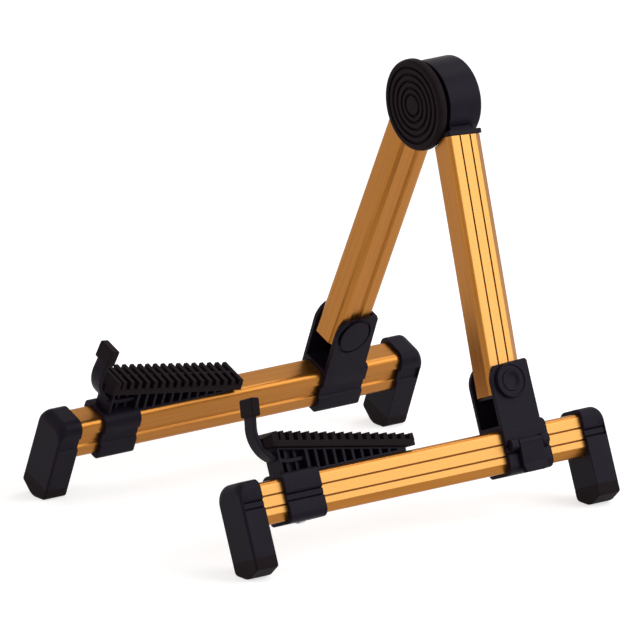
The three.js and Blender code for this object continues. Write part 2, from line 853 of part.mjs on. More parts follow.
function hookPath(extra) {
  const points = [new THREE.Vector2(stemRear, stemLevel)];
  const bend = new THREE.Vector2(hookY + hookBendRadius, stemLevel + hookBendRadius);
  const bendSteps = smallRound * 2;
  for (let step = 0; step <= bendSteps; step += 1) {
    const angle = (Math.PI / 2) * (step / bendSteps);
    const out = new THREE.Vector2(Math.sin(angle), Math.cos(angle));
    points.push(bend.clone().addScaledVector(out, -hookBendRadius));
  }
  return [...points, hookKnee, hookEnd.clone().addScaledVector(hookUp, extra)];
}

function stripAlong(points, thickness, x0, x1) {
  const near = [];
  const far = [];
  points.forEach((point, place) => {
    const before = points[Math.max(place - 1, 0)];
    const after = points[Math.min(place + 1, points.length - 1)];
    const side = new THREE.Vector2(before.y - after.y, after.x - before.x).setLength(thickness / 2);
    near.push(point.clone().add(side));
    far.push(point.clone().sub(side));
  });
  return alongX(new THREE.Shape([...near, ...far.reverse()]), x0, x1);
}

function cradle() {
  const sleeve = alongY(sleeveOutline(footInner, footOuter, footInnerRound), cradleFront, cradleRear);
  const hook = stripAlong(hookPath(0), stemThickness, hookX0, hookX1);
  const screwHole = rodZ(
    screwRadius + slipGap, sleeveBottom - overrun, railBottom + overrun,
    tubeMiddle, cradleScrewY);
  return cut(
    joined(sleeve, wedge(), hook),
    railStretch(slipGap, wedgeToe - overrun, wedgeTail + overrun),
    screwHole);
}

// Hook tip: a bevelled rubber block pushed over the end of the strip
function hookTip() {
  const back = new THREE.Vector2(hookUp.y, -hookUp.x);
  const half = tipThickness / 2;
  const top = tipHeight - tipOverlap;
  const corner = (across, along) => hookEnd.clone()
    .addScaledVector(back, across)
    .addScaledVector(hookUp, along);
  const outline = new THREE.Shape([
    corner(-half, -tipOverlap),
    corner(half, -tipOverlap),
    corner(half, top - tipBevel),
    corner(half - tipBevel, top),
    corner(tipBevel - half, top),
    corner(-half, top - tipBevel),
  ]);
  const socket = stripAlong(
    hookPath(slipGap), stemThickness + slipGap * 2, hookX0 - slipGap, hookX1 + slipGap);
  return cut(alongX(outline, tubeMiddle - tipWidth / 2, tubeMiddle + tipWidth / 2), socket);
}

// Rubber pad: teeth that get lower towards the rear, and a spine between them
function cradlePad() {
  const slabTop = (y) => padUnder(y) + padStripThickness;
  const toothHeight = (y) => THREE.MathUtils.mapLinear(
    y, padFront, padRear, toothFrontHeight, toothRearHeight);
  const toothMiddle = (count) => padFront + toothInset + toothPitch * count;
  const noseEnd = padFront + padNoseLength;
  const noseTop = slabTop(noseEnd) + toothHeight(noseEnd);
  const slab = new THREE.Shape();
  slab.moveTo(padFront, padUnder(padFront));
  slab.lineTo(padRear, padUnder(padRear));
  slab.lineTo(padRear, slabTop(padRear));
  for (let count = toothCount - 1; count >= 0; count -= 1) {
    const middle = toothMiddle(count);
    const top = slabTop(middle) + toothHeight(middle);
    slab.lineTo(middle + toothWidth / 2, slabTop(middle));
    slab.lineTo(middle + toothTopWidth / 2, top);
    slab.lineTo(middle - toothTopWidth / 2, top);
    slab.lineTo(middle - toothWidth / 2, slabTop(middle));
  }
  slab.lineTo(noseEnd, slabTop(noseEnd));
  slab.lineTo(noseEnd, noseTop);
  slab.lineTo(padFront, noseTop - padNoseDrop);
  const first = noseEnd - padNoseLength / 2;
  const last = toothMiddle(toothCount - 1);
  const spine = new THREE.Shape();
  spine.moveTo(first, slabTop(first) - padStripThickness / 2);
  spine.lineTo(last, slabTop(last) - padStripThickness / 2);
  spine.lineTo(last, slabTop(last) + toothHeight(last) * padSpineShare);
  spine.lineTo(first, slabTop(noseEnd) + toothHeight(noseEnd) * padSpineShare);
  return joined(
    alongX(slab, tubeMiddle - padStripWidth / 2, tubeMiddle + padStripWidth / 2),
    alongX(spine, tubeMiddle - padSpineWidth / 2, tubeMiddle + padSpineWidth / 2));
}

// Assembly: each half leans outward about the hub's axis
const stand = new THREE.Group();
const halves = {};
for (const [side, sign] of [['right', 1], ['left', -1]]) {
  const half = new THREE.Group();
  half.position.set(0, 0, hubHeight);
  half.rotation.y = -sign * spreadHalfAngle;
  halves[side] = half;
  stand.add(half);
}

function add(side, name, body, finish) {
  const geometry = side === 'left' ? mirrored(geometryOf(body)) : geometryOf(body);
  const mesh = new THREE.Mesh(geometry, new THREE.MeshStandardMaterial(finish));
  mesh.name = name;
  halves[side].add(mesh);
}

for (const side of ['right', 'left']) {
  add(side, `${side}_rail`, railTube(), gold);
  add(side, `${side}_front_foot`, footCap(-1), plastic);
  add(side, `${side}_front_sole`, sole(-1), rubber);
  add(side, `${side}_rear_foot`, footCap(1), plastic);
  add(side, `${side}_rear_sole`, sole(1), rubber);
  add(side, `${side}_cradle`, cradle(), plastic);
  add(side, `${side}_cradle_pad`, cradlePad(), rubber);
  add(side, `${side}_hook_tip`, hookTip(), rubber);
  add(side, `${side}_cradle_screw`, cradleScrew(), steel);
  add(side, `${side}_bracket`, bracket(), plastic);
  add(side, `${side}_clamp_lever`, clampLever(), plastic);
  add(side, `${side}_lever_pin`, leverPin(), steel);
  add(side, `${side}_pivot_pin`, pivotPin(), steel);
  add(side, `${side}_outer_cap`, outerCap(), plastic);
  add(side, `${side}_inner_cap`, innerCap(), plastic);
  add(side, `${side}_upright`, uprightTube(), gold);
  add(side, `${side}_end_plug`, endPlug(), plastic);
  add(side, `${side}_head_screw`, headScrew(), steel);
}
add('right', 'drum_head', drumHead(), plastic);
add('left', 'carrier_head', carrierHead(), plastic);
add('left', 'hub_pad', hubPad(), rubber);
add('right', 'hub_bolt', hubBolt(), steel);
add('right', 'hub_washer', hubWasher(), steel);
add('right', 'hub_nut', hubNut(), steel);
add('right', 'hub_rear_cap', hubRearCap(), plastic);

export default stand;
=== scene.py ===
import json
import math

import bmesh
import bpy
from mathutils import Matrix, Vector


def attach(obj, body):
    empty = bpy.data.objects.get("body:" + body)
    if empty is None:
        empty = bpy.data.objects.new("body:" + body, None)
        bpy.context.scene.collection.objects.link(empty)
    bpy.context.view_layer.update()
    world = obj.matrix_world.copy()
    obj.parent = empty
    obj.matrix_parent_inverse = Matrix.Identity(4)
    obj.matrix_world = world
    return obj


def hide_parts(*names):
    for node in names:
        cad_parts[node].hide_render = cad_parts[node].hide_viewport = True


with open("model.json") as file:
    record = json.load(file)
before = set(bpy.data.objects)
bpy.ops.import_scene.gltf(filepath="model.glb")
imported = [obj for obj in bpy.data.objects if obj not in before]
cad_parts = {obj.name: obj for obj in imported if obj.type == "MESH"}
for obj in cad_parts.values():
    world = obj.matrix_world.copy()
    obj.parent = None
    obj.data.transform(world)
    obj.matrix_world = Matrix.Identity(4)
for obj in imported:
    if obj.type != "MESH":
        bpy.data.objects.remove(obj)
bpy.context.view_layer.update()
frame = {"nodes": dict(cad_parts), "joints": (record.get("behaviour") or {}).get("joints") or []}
scene = bpy.context.scene
scene.view_settings.view_transform = "Standard"

# Camera. The picture is taken with a long lens from the front right and a
# little above, so lines that are parallel on the stand stay nearly parallel.
view_azimuth = math.radians(53.14)
view_elevation = math.radians(16.37)
view_width = 0.4716
view_distance = 16.0
view_target = Vector((-0.0060, 0.0033, 0.1355))
toward_camera = Vector((
    math.sin(view_azimuth) * math.cos(view_elevation),
    -math.cos(view_azimuth) * math.cos(view_elevation),
    math.sin(view_elevation)))
camera_data = bpy.data.cameras.new("camera")
camera_data.lens = camera_data.sensor_width * view_distance / view_width
camera_data.clip_end = 60.0
camera = bpy.data.objects.new("camera", camera_data)
camera.location = view_target + toward_camera * view_distance
camera.rotation_euler = toward_camera.to_track_quat("Z", "Y").to_euler()
scene.collection.objects.link(camera)
scene.camera = camera


# Studio. The floor and the world are plain white to the eye and in what
# shines, and the floor still takes the stand's soft shadow. A large soft lamp
# stands behind to the right, and two weaker ones light the front and the top.
def add_node(tree, kind, inputs=None, **settings):
    made = tree.nodes.new(kind)
    for name, value in settings.items():
        setattr(made, name, value)
    for socket, value in (inputs or {}).items():
        if isinstance(value, bpy.types.NodeSocket):
            tree.links.new(value, made.inputs[socket])
        else:
            made.inputs[socket].default_value = value
    return made


# 1 for a ray that the eye follows, straight or by a shine, and 0 for lighting
def seen_share(tree):
    rays = add_node(tree, "ShaderNodeLightPath").outputs
    shiny = add_node(tree, "ShaderNodeMath", {
        0: rays["Is Glossy Ray"], 1: rays["Is Transmission Ray"]}, operation="ADD")
    return add_node(tree, "ShaderNodeMath", {
        0: rays["Is Camera Ray"], 1: shiny.outputs[0]}, operation="ADD", use_clamp=True).outputs[0]


def add_floor(size, colour, own_light):
    material = bpy.data.materials.new("studio_floor")
    material.use_nodes = True
    tree = material.node_tree
    tree.nodes.clear()
    plain = add_node(tree, "ShaderNodeBsdfDiffuse", {"Color": colour})
    glow_strength = add_node(tree, "ShaderNodeMath", {
        0: seen_share(tree), 1: own_light}, operation="MULTIPLY")
    glow = add_node(tree, "ShaderNodeEmission", {"Strength": glow_strength.outputs[0]})
    both = add_node(tree, "ShaderNodeAddShader", {0: plain.outputs[0], 1: glow.outputs[0]})
    add_node(tree, "ShaderNodeOutputMaterial", {"Surface": both.outputs[0]})
    mesh = bpy.data.meshes.new("studio_floor")
    mesh.from_pydata([
        (-size, -size, 0), (size, -size, 0), (size, size, 0), (-size, size, 0)], [], [(0, 1, 2, 3)])
    mesh.materials.append(material)
    floor = bpy.data.objects.new("studio_floor", mesh)
    scene.collection.objects.link(floor)


def add_world(soft_colour, soft_strength):
    world = bpy.data.worlds.new("studio_world")
    world.use_nodes = True
    tree = world.node_tree
    tree.nodes.clear()
    soft = add_node(tree, "ShaderNodeBackground", {"Color": soft_colour, "Strength": soft_strength})
    white = add_node(tree, "ShaderNodeBackground", {"Color": (1, 1, 1, 1), "Strength": 1.0})
    choice = add_node(tree, "ShaderNodeMixShader", {
        0: seen_share(tree), 1: soft.outputs[0], 2: white.outputs[0]})
    add_node(tree, "ShaderNodeOutputWorld", {"Surface": choice.outputs[0]})
    scene.world = world


def add_lamp(name, direction, distance, size, power, colour):
    lamp_data = bpy.data.lights.new(name, "AREA")
    lamp_data.shape = "DISK"
    lamp_data.size = size
    lamp_data.energy = power
    lamp_data.color = colour
    lamp = bpy.data.objects.new(name, lamp_data)
    away = Vector(direction).normalized()
    lamp.location = view_target + away * distance
    lamp.rotation_euler = away.to_track_quat("Z", "Y").to_euler()
    scene.collection.objects.link(lamp)


add_floor(size=6.0, colour=(0.8, 0.8, 0.8, 1), own_light=0.62)
add_world(soft_colour=(1.0, 0.96, 0.93, 1), soft_strength=0.4)
add_lamp(
    "key_lamp", direction=(0.66, 0.58, 0.48), distance=2.0, size=1.7, power=21.0, colour=(0.92, 0.96, 1.0))
add_lamp(
    "fill_lamp", direction=(-0.25, -0.9, 0.45), distance=2.4, size=1.6, power=6.0, colour=(1.0, 0.80, 0.74))
add_lamp(
    "top_lamp", direction=(-0.02, 0.58, 0.81), distance=2.2, size=0.8, power=6.0, colour=(1.0, 0.98, 0.95))

# Half frames. Each half of the stand is flat and leans outward from the hub,
# so its pieces are drawn upright in its own frame: x outward from the middle,
# y to the rear, z up from the hub's axis. The left half is a mirror image.
joints = {joint["name"]: joint for joint in frame["joints"]}
hub_height = joints["hub_spread"]["pos_m"][2]
rearward = Vector((0, 1, 0))
half_frames = {}
for side, turn in (("right", -1), ("left", 1)):
    outward = Vector(joints[f"{side}_fold"]["axis"]) * turn
    upward = outward.cross(rearward)
    if upward.z < 0:
        upward.negate()
    half_frames[side] = Matrix.Translation((0, 0, hub_height)) @ Matrix((
        outward, rearward, upward)).transposed().to_4x4()
sides = tuple(half_frames)
to_right_half = half_frames["right"].inverted()
pin_place = to_right_half @ Vector(joints["right_fold"]["pos_m"])
lever_place = to_right_half @ Vector(joints["right_clamp"]["pos_m"])


# The lowest and the highest corner of a CAD node's box in the right half
def drawn_box(node):
    corners = [to_right_half @ vertex.co for vertex in frame["nodes"][node].data.vertices]
    low = Vector([min(corner[axis] for corner in corners) for axis in range(3)])
    high = Vector([max(corner[axis] for corner in corners) for axis in range(3)])
    return low, high


# Rails and uprights. One aluminium extrusion makes all four: satin anodised
# gold, its outer face grained by blasting and marked by two fine lines, its
# inner face sunk along the middle. The saw leaves square ends.
slip_gap = 0.0003
overrun = 0.001
tube_size = (0.0225, 0.0315)
tube_wall = 0.0016
tube_inner_radii = (0.0045, 0.0070)
tube_outer_radius = 0.0040
tube_bevel = (0.0040, 0.0063)
tube_bevel_radius = 0.0014
tube_bore_radii = (0.004, 0.003)
tube_line_width = 0.0013
tube_line_depth = 0.0008
tube_line_floor = 0.35
tube_line_edge = 0.0001
tube_line_drops = (0.0108, 0.0198)
tube_recess_drops = (0.0112, 0.0192)
tube_recess_depth = 0.0018
tube_recess_slope = 0.0010
tube_recess_radii = (0.0004, 0.0003)

# An outline drawn across and up becomes a bar along x or y with these
along_x = Matrix(((0, 0, 1, 0), (1, 0, 0, 0), (0, 1, 0, 0), (0, 0, 0, 1)))
along_y = Matrix(((1, 0, 0, 0), (0, 0, 1, 0), (0, 1, 0, 0), (0, 0, 0, 1)))


# An outline with its corners rounded: each corner is (across, up, radius)
def rounded(corners, steps=6):
    outline = []
    for place, (across, up, radius) in enumerate(corners):
        corner = Vector((across, up))
        if radius == 0:
            outline.append(corner)
            continue
        before = Vector(corners[place - 1][:2]) - corner
        after = Vector(corners[(place + 1) % len(corners)][:2]) - corner
        half_angle = before.angle(after) / 2
        reach = min(radius / math.tan(half_angle), before.length / 2, after.length / 2)
        depth = reach * math.tan(half_angle)
        middle = (before.normalized() + after.normalized()).normalized()
        centre = corner + middle * (depth / math.sin(half_angle))
        start = corner + before.normalized() * reach - centre
        end = corner + after.normalized() * reach - centre
        first = math.atan2(start.y, start.x)
        sweep = (math.atan2(end.y, end.x) - first + math.pi) % math.tau - math.pi
        for step in range(steps + 1):
            angle = first + sweep * step / steps
            outline.append(centre + Vector((math.cos(angle), math.sin(angle))) * depth)
    return outline


# The outline moved into the shape by the same distance all round
def inset(outline, distance):
    if distance == 0:
        return outline
    count = len(outline)
    area = sum(outline[i - 1].cross(outline[i]) for i in range(count))
    turn = 1 if area > 0 else -1
    inner = []
    for place, point in enumerate(outline):
        before = (point - outline[place - 1]).normalized()
        after = (outline[(place + 1) % count] - point).normalized()
        normals = [Vector((-edge.y, edge.x)) * turn for edge in (before, after)]
        bisector = (normals[0] + normals[1]).normalized()
        inner.append(point + bisector * (distance / max(bisector.dot(normals[0]), 0.5)))
    return inner


def new_shape(name, build):
    mesh = bpy.data.meshes.new(name)
    builder = bmesh.new()
    build(builder)
    bmesh.ops.remove_doubles(builder, verts=builder.verts, dist=1e-7)
    bmesh.ops.recalc_face_normals(builder, faces=builder.faces)
    builder.to_mesh(mesh)
    builder.free()
    shape = bpy.data.objects.new(name, mesh)
    scene.collection.objects.link(shape)
    return shape


# A solid through a stack of outlines: each level is (height, outline)
def stacked(levels, place):
    def build(builder):
        rings = [
            [builder.verts.new(place @ Vector((*point, height))) for point in outline]
            for height, outline in levels]
        for lower, upper in zip(rings, rings[1:]):
            for i in range(len(lower)):
                builder.faces.new((lower[i - 1], lower[i], upper[i], upper[i - 1]))
        builder.faces.new(rings[0])
        builder.faces.new(rings[-1])

    return new_shape("stacked", build)


# A bar with that outline, the edges of its two ends rounded. No corner of the
# outline may have a smaller radius than they do, apart from sharp ones.
def bar(outline, start, end, place, start_round=0.0, end_round=0.0, steps=4):
    levels = []
    for rim, radius, inward in ((start, start_round, 1), (end, end_round, -1)):
        stack = []
        for step in range(steps + 1) if radius else (0,):
            angle = math.pi / 2 * step / steps
            along = rim + inward * radius * (1 - math.sin(angle))
            stack.append((along, inset(outline, radius * (1 - math.cos(angle)))))
        levels += reversed(stack) if inward == 1 else stack
    return stacked(levels, place)


# The solid's own mesh once its modifiers have done their work
def settle(shape):
    graph = bpy.context.evaluated_depsgraph_get()
    settled = bpy.data.meshes.new_from_object(shape.evaluated_get(graph), depsgraph=graph)
    shape.modifiers.clear()
    raw = shape.data
    shape.data = settled
    bpy.data.meshes.remove(raw)
    return shape


def drop(*shapes):
    for shape in shapes:
        bpy.data.meshes.remove(shape.data)


def combine(body, operation, *tools):
    for tool in tools:
        step = body.modifiers.new(operation, "BOOLEAN")
        step.operation = operation
        step.solver = "MANIFOLD"
        step.object = tool
    settle(body)
    drop(*tools)
    return body


def moved(shape, matrix):
    shape.data.transform(matrix)
    if matrix.determinant() < 0:
        shape.data.flip_normals()
    return shape


def copied(shape):
    twin = bpy.data.objects.new(shape.name, shape.data.copy())
    scene.collection.objects.link(twin)
    return twin


# Every surface pattern follows the coordinates that its piece was drawn in
def keep_drawn_places(shape):
    drawn = shape.data.attributes.new("drawn", "FLOAT_VECTOR", "POINT")
    for vertex in shape.data.vertices:
        drawn.data[vertex.index].vector = vertex.co


def shade(shape, sharp_angle=math.radians(28)):
    shape.data.shade_smooth()
    shape.data.set_sharp_from_angle(angle=sharp_angle)
    step = shape.modifiers.new("flat_faces", "WEIGHTED_NORMAL")
    step.keep_sharp = True
    return settle(shape)


# A finished piece: its place on one side, its body, and the node it stands for
def finish(shape, name, side, body, nodes, materials, place=Matrix.Identity(4)):
    piece = copied(shape)
    piece.name = name
    piece.data.name = name
    keep_drawn_places(piece)
    moved(piece, half_frames[side] @ place)
    choices = [face.material_index for face in piece.data.polygons]
    piece.data.materials.clear()
    for material in materials:
        piece.data.materials.append(material)
    piece.data.polygons.foreach_set("material_index", choices)
    shade(piece)
    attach(piece, body)
    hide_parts(*nodes)


# The same piece on the right and, mirrored, on the left
def finish_both(shape, name, body, node, materials, place=Matrix.Identity(4)):
    for side in sides:
        finish(shape, f"{side}_{name}", side, f"{side}_{body}", [f"{side}_{node}"], materials, place)
    drop(shape)


def new_material(name):
    material = bpy.data.materials.new(name)
    material.use_nodes = True
    tree = material.node_tree
    tree.nodes.clear()
    shader = add_node(tree, "ShaderNodeBsdfPrincipled")
    add_node(tree, "ShaderNodeOutputMaterial", {"Surface": shader.outputs[0]})
    return material, tree, shader


def drawn_places(tree, scale=(1, 1, 1)):
    drawn = add_node(tree, "ShaderNodeAttribute", attribute_name="drawn")
    return add_node(tree, "ShaderNodeMapping", {
        "Vector": drawn.outputs["Vector"], "Scale": scale}).outputs[0]


def noise(tree, vector, scale, detail=2.0):
    return add_node(tree, "ShaderNodeTexNoise", {
        "Vector": vector, "Scale": scale, "Detail": detail}).outputs[0]


# Noise keeps to the middle of its range, which is stretched to low and high
def spread(tree, value, low, high):
    return add_node(tree, "ShaderNodeMapRange", {
        "Value": value, "From Min": 0.3, "From Max": 0.7, "To Min": low, "To Max": high}).outputs[0]


def blend_colours(tree, share, low, high):
    return add_node(tree, "ShaderNodeMix", {
        0: share, 6: (*low, 1), 7: (*high, 1)}, data_type="RGBA").outputs[2]


def add_bump(tree, shader, height, distance, strength):
    bump = add_node(tree, "ShaderNodeBump", {
        "Height": height, "Distance": distance, "Strength": strength})
    tree.links.new(bump.outputs[0], shader.inputs["Normal"])


# Fine grain all over, and streaks that run along the tube as it was drawn
gold_grain_scale = 1250.0
gold_grain_height = 0.00006
gold_streak_scale = 900.0
gold_streak_stretch = (1.0, 0.012, 1.0)
roughness_spread = 0.04


def anodised_gold(name, dark, bright, roughness, streak_share, grain_bump):
    material, tree, shader = new_material(name)
    grain = noise(tree, drawn_places(tree), gold_grain_scale)
    streaks = noise(tree, drawn_places(tree, gold_streak_stretch), gold_streak_scale, 1.0)
    mixed = add_node(tree, "ShaderNodeMix", {0: streak_share, 2: grain, 3: streaks}).outputs[0]
    colour = blend_colours(tree, spread(tree, mixed, 0.0, 1.0), dark, bright)
    tree.links.new(colour, shader.inputs["Base Color"])
    tree.links.new(
        spread(tree, mixed, roughness - roughness_spread, roughness + roughness_spread),
        shader.inputs["Roughness"])
    shader.inputs["Metallic"].default_value = 0.9
    add_bump(tree, shader, grain, gold_grain_height, grain_bump)
    return material


gold = anodised_gold(
    "anodised_gold", dark=(0.33, 0.130, 0.022), bright=(0.43, 0.172, 0.031),
    roughness=0.32, streak_share=0.6, grain_bump=0.15)
# Blasted outer face: rougher and grainier, and its paler base colour is partly the blasting and partly
# painted light from the key lamp
blasted_gold = anodised_gold(
    "blasted_gold", dark=(0.44, 0.210, 0.053), bright=(0.59, 0.295, 0.080),
    roughness=0.46, streak_share=0.1, grain_bump=0.6)
# Faces inside the two fine lines: their darker base colour is painted shade in the grooves
gold_line_painted_shade = anodised_gold(
    "gold_in_lines", dark=(0.13, 0.040, 0.006), bright=(0.17, 0.055, 0.009),
    roughness=0.5, streak_share=0.5, grain_bump=0.2)


# The section is drawn about the middle of its height, inner face at the left
def tube_section(grow=0.0):
    width, height = tube_size
    low = -height / 2 - grow
    high = height / 2 + grow
    right = width + grow
    low_radius, high_radius = tube_inner_radii
    lip_radius, floor_radius = tube_recess_radii
    corners = [
        (-grow, low, low_radius),
        (right - tube_bevel[0], low, tube_bevel_radius),
        (right, low + tube_bevel[1], tube_bevel_radius),
    ]
    if grow == 0:
        for drop_down in reversed(tube_line_drops):
            middle = high - drop_down
            corners += [
                (right, middle - tube_line_width / 2, tube_line_edge),
                (right - tube_line_depth, middle - tube_line_width * tube_line_floor, 0),
                (right - tube_line_depth, middle + tube_line_width * tube_line_floor, 0),
                (right, middle + tube_line_width / 2, tube_line_edge),
            ]
    recess_high, recess_low = (height / 2 - drop_down for drop_down in tube_recess_drops)
    corners += [
        (right, high, tube_outer_radius),
        (-grow, high, high_radius),
        (-grow, recess_high - grow + tube_recess_slope, lip_radius),
        (tube_recess_depth - grow, recess_high - grow, floor_radius),
        (tube_recess_depth - grow, recess_low + grow, floor_radius),
        (-grow, recess_low + grow - tube_recess_slope, lip_radius),
    ]
    return rounded(corners)


def tube_bore():
    width, height = tube_size
    left = tube_wall + tube_recess_depth
    right = width - tube_wall - tube_line_depth
    high = height / 2 - tube_wall
    inner_radius, outer_radius = tube_bore_radii
    return rounded([
        (left, -high, inner_radius), (right, -high, outer_radius),
        (right, high, outer_radius), (left, high, inner_radius)])


# The outer face takes the blasted finish, its paler colour partly painted light,
# and the two lines in it a darker colour that is painted shade in the grooves
def mark_finishes_and_painted_light(tube):
    below_floor = tube_size[0] - tube_line_depth * 1.2
    line_mouth = tube_size[0] - tube_line_edge
    for face in tube.data.polygons:
        drops = [abs(tube_size[1] / 2 - drop_down - face.center.z) for drop_down in tube_line_drops]
        in_line_painted_shade = min(drops) < tube_line_width / 2 and below_floor < face.center.x < line_mouth
        faces_out = face.normal.x > 0.97
        # Outer faces get the paler gold, partly painted light; faces in the lines get painted shade
        face.material_index = 2 if in_line_painted_shade else 1 if faces_out else 0


def make_tube(start, end):
    tube = bar(tube_section(), start, end, along_y)
    return combine(tube, "DIFFERENCE", bar(tube_bore(), start - overrun, end + overrun, along_y))


def finish_tubes(tube, part, place):
    finishes = (gold, blasted_gold, gold_line_painted_shade)
    for material in finishes:
        tube.data.materials.append(material)
    mark_finishes_and_painted_light(tube)
    finish_both(tube, f"{part}_tube", part, part, finishes, place)


rail_low, rail_high = drawn_box("right_rail")
rail_top = rail_high.z
rail_place = Matrix.Translation((rail_low.x, 0, (rail_low.z + rail_high.z) / 2))
finish_tubes(make_tube(rail_low.y, rail_high.y), "rail", rail_place)


def disc(radius, start, end, place, steps=96, start_round=0.0, end_round=0.0):
    outline = [Vector((math.cos(math.tau * i / steps), math.sin(math.tau * i / steps))) * radius
               for i in range(steps)]
    return bar(outline, start, end, place, start_round, end_round)


# The uprights lean back a little, and the side that is a rail's top faces the
# front. A round notch at the upper end clears the hub.
lean_angle = math.radians(4.2)
upright_tail = 0.009
hub_notch_radius = 0.0350
hub_notch_front = 0.05
hub_notch_rear = 0.16
tube_front = tube_size[1] / 2
lean_place = Matrix.Translation((0, pin_place.y, pin_place.z)) @ Matrix.Rotation(-lean_angle, 4, "X")
upright_place = lean_place @ Matrix.Translation((rail_low.x, 0, 0)) @ Matrix.Rotation(math.pi / 2, 4, "X")
upright_box_high = drawn_box("right_upright")[1]
upright_high = (
    upright_box_high.z - pin_place.z - tube_front * math.sin(lean_angle)) / math.cos(lean_angle)
upright = make_tube(-upright_tail, upright_high)
notch = moved(disc(hub_notch_radius, hub_notch_front, hub_notch_rear, along_y), upright_place.inverted())
combine(upright, "DIFFERENCE", notch)
finish_tubes(upright, "upright", upright_place)


# Feet. A black nylon cap is pushed over each end of a rail, with a hollow leg
# below it. It is moulded in one, its outer end softened all round, and two
# fine lines and a sunk strip run on from the lines of the rail.
black_tones = (0.8, 1.2)
black_cloud_scale = 60.0
black_grain_height = 0.00004
black_shine = 0.06


def moulded_black(name, colour, roughness, grain_scale, grain_bump):
    material, tree, shader = new_material(name)
    cloud = noise(tree, drawn_places(tree), black_cloud_scale, 3.0)
    grain = noise(tree, drawn_places(tree), grain_scale, 1.0)
    darker, brighter = ([value * tone for value in colour] for tone in black_tones)
    tree.links.new(
        blend_colours(tree, spread(tree, cloud, 0.0, 1.0), darker, brighter), shader.inputs["Base Color"])
    tree.links.new(
        spread(tree, cloud, roughness - roughness_spread, roughness + roughness_spread),
        shader.inputs["Roughness"])
    shader.inputs["Specular IOR Level"].default_value = black_shine
    add_bump(tree, shader, grain, black_grain_height, grain_bump)
    return material


nylon = moulded_black(
    "black_nylon", (0.0112, 0.0079, 0.0150), roughness=0.44, grain_scale=1800.0, grain_bump=0.35)
rubber = moulded_black(
    "black_rubber", (0.0106, 0.0062, 0.0076), roughness=0.62, grain_scale=1500.0, grain_bump=0.5)

foot_edge_round = 0.0018
foot_crown_round = 0.0075
foot_rim_round = 0.0005
foot_inner_round = 0.009
foot_outer_round = 0.0065
foot_trim = 0.004
trim_reach = 0.006
leg_wall = 0.0032
plug_height = 0.008
cut_margin = 0.004
strip_drops = (0.0131, 0.0178)
strip_depth = 0.0009
strip_slope = 0.0022
strip_line_depth = 0.0021
strip_line_edge = (0.0006, 0.0010)
strip_line_width = 0.0005
sunk_depth = 0.0018
sunk_slope = 0.0014
sunk_corner = 0.0004


# What is cut away along the outer face: two lines and the strip between them
def strip_cut(face, start, end):
    high, low = (rail_top - drop_down for drop_down in strip_drops)
    edge_depth, edge_out = strip_line_edge
    corners = []
    for level, turn in ((low, 1), (high, -1)):
        line = [
            (face + cut_margin, level - turn * strip_slope, 0),
            (face, level - turn * strip_slope, 0),
            (face - edge_depth, level - turn * edge_out, 0),
            (face - strip_line_depth, level, 0),
            (face - strip_depth, level + turn * strip_line_width, 0),
        ]
        corners += line if turn == 1 else reversed(line)
    return bar(rounded(corners), start, end, along_y)


# What is cut away along the inner face: one sunk stretch
def sunk_cut(face, start, end):
    high, low = (rail_top - drop_down for drop_down in tube_recess_drops)
    return bar(rounded([
        (face - cut_margin, low - sunk_slope, 0),
        (face, low - sunk_slope, 0),
        (face + sunk_depth, low, sunk_corner),
        (face + sunk_depth, high, sunk_corner),
        (face, high + sunk_slope, 0),
        (face - cut_margin, high + sunk_slope, 0),
    ]), start, end, along_y)


def rail_space(start, end):
    return moved(bar(tube_section(slip_gap), start, end, along_y), rail_place)


def block(low, high):
    outline = [Vector(point) for point in (
        (low[0], low[2]), (high[0], low[2]), (high[0], high[2]), (low[0], high[2]))]
    return bar(outline, low[1], high[1], along_y)


# How far a rounded edge falls back at this distance from the end face
def edge_fall(radius, distance):
    return radius - math.sqrt(max(radius ** 2 - max(radius - distance, 0) ** 2, 0))


# The foot's top edge falls away in a large arc towards its outer end
def foot_solid(low, high, outer_end, rim_end, crown_steps=12, rim_steps=4):
    into = 1 if rim_end > outer_end else -1
    levels = []
    for step in range(crown_steps + 1):
        distance = foot_crown_round * (1 - math.cos(math.pi / 2 * step / crown_steps))
        levels.append((
            outer_end + into * distance,
            edge_fall(foot_edge_round, distance), edge_fall(foot_crown_round, distance)))
    for step in range(rim_steps, -1, -1):
        distance = foot_rim_round * (1 - math.cos(math.pi / 2 * step / rim_steps))
        fall = edge_fall(foot_rim_round, distance)
        levels.append((rim_end - into * distance, fall, fall))
    return stacked([(along, rounded([
        (low.x + side_fall, low.z - foot_trim, 0),
        (high.x - side_fall, low.z - foot_trim, 0),
        (high.x - side_fall, high.z - top_fall, foot_outer_round),
        (low.x + side_fall, high.z - top_fall, foot_inner_round),
    ], steps=10)) for along, side_fall, top_fall in levels], along_y)


# Legs and soles are drawn on past the joint between them, and cut flat there
for end in ("front", "rear"):
    foot_low, foot_high = drawn_box(f"right_{end}_foot")
    if end == "front":
        into, outer_end, rim_end = 1, foot_low.y, foot_high.y
        rail_end = rail_low.y - slip_gap
    else:
        into, outer_end, rim_end = -1, foot_high.y, foot_low.y
        rail_end = rail_high.y + slip_gap
    foot = foot_solid(foot_low, foot_high, outer_end, rim_end)
    socket = rail_space(*sorted((rail_end, rim_end + into * overrun)))
    below = block(
        (foot_low.x - overrun, foot_low.y - overrun, foot_low.z - trim_reach),
        (foot_high.x + overrun, foot_high.y + overrun, foot_low.z))
    hollow = block(
        (foot_low.x + leg_wall, foot_low.y + leg_wall, foot_low.z - overrun),
        (foot_high.x - leg_wall, foot_high.y - leg_wall, foot_low.z + plug_height + slip_gap))
    band_start, band_end = sorted((outer_end + into * foot_edge_round, rim_end + into * overrun))
    combine(
        foot, "DIFFERENCE", socket, below, hollow,
        strip_cut(foot_high.x, band_start, band_end),
        sunk_cut(foot_low.x, band_start, band_end))
    finish_both(foot, f"{end}_foot_cap", "rail", f"{end}_foot", (nylon,))

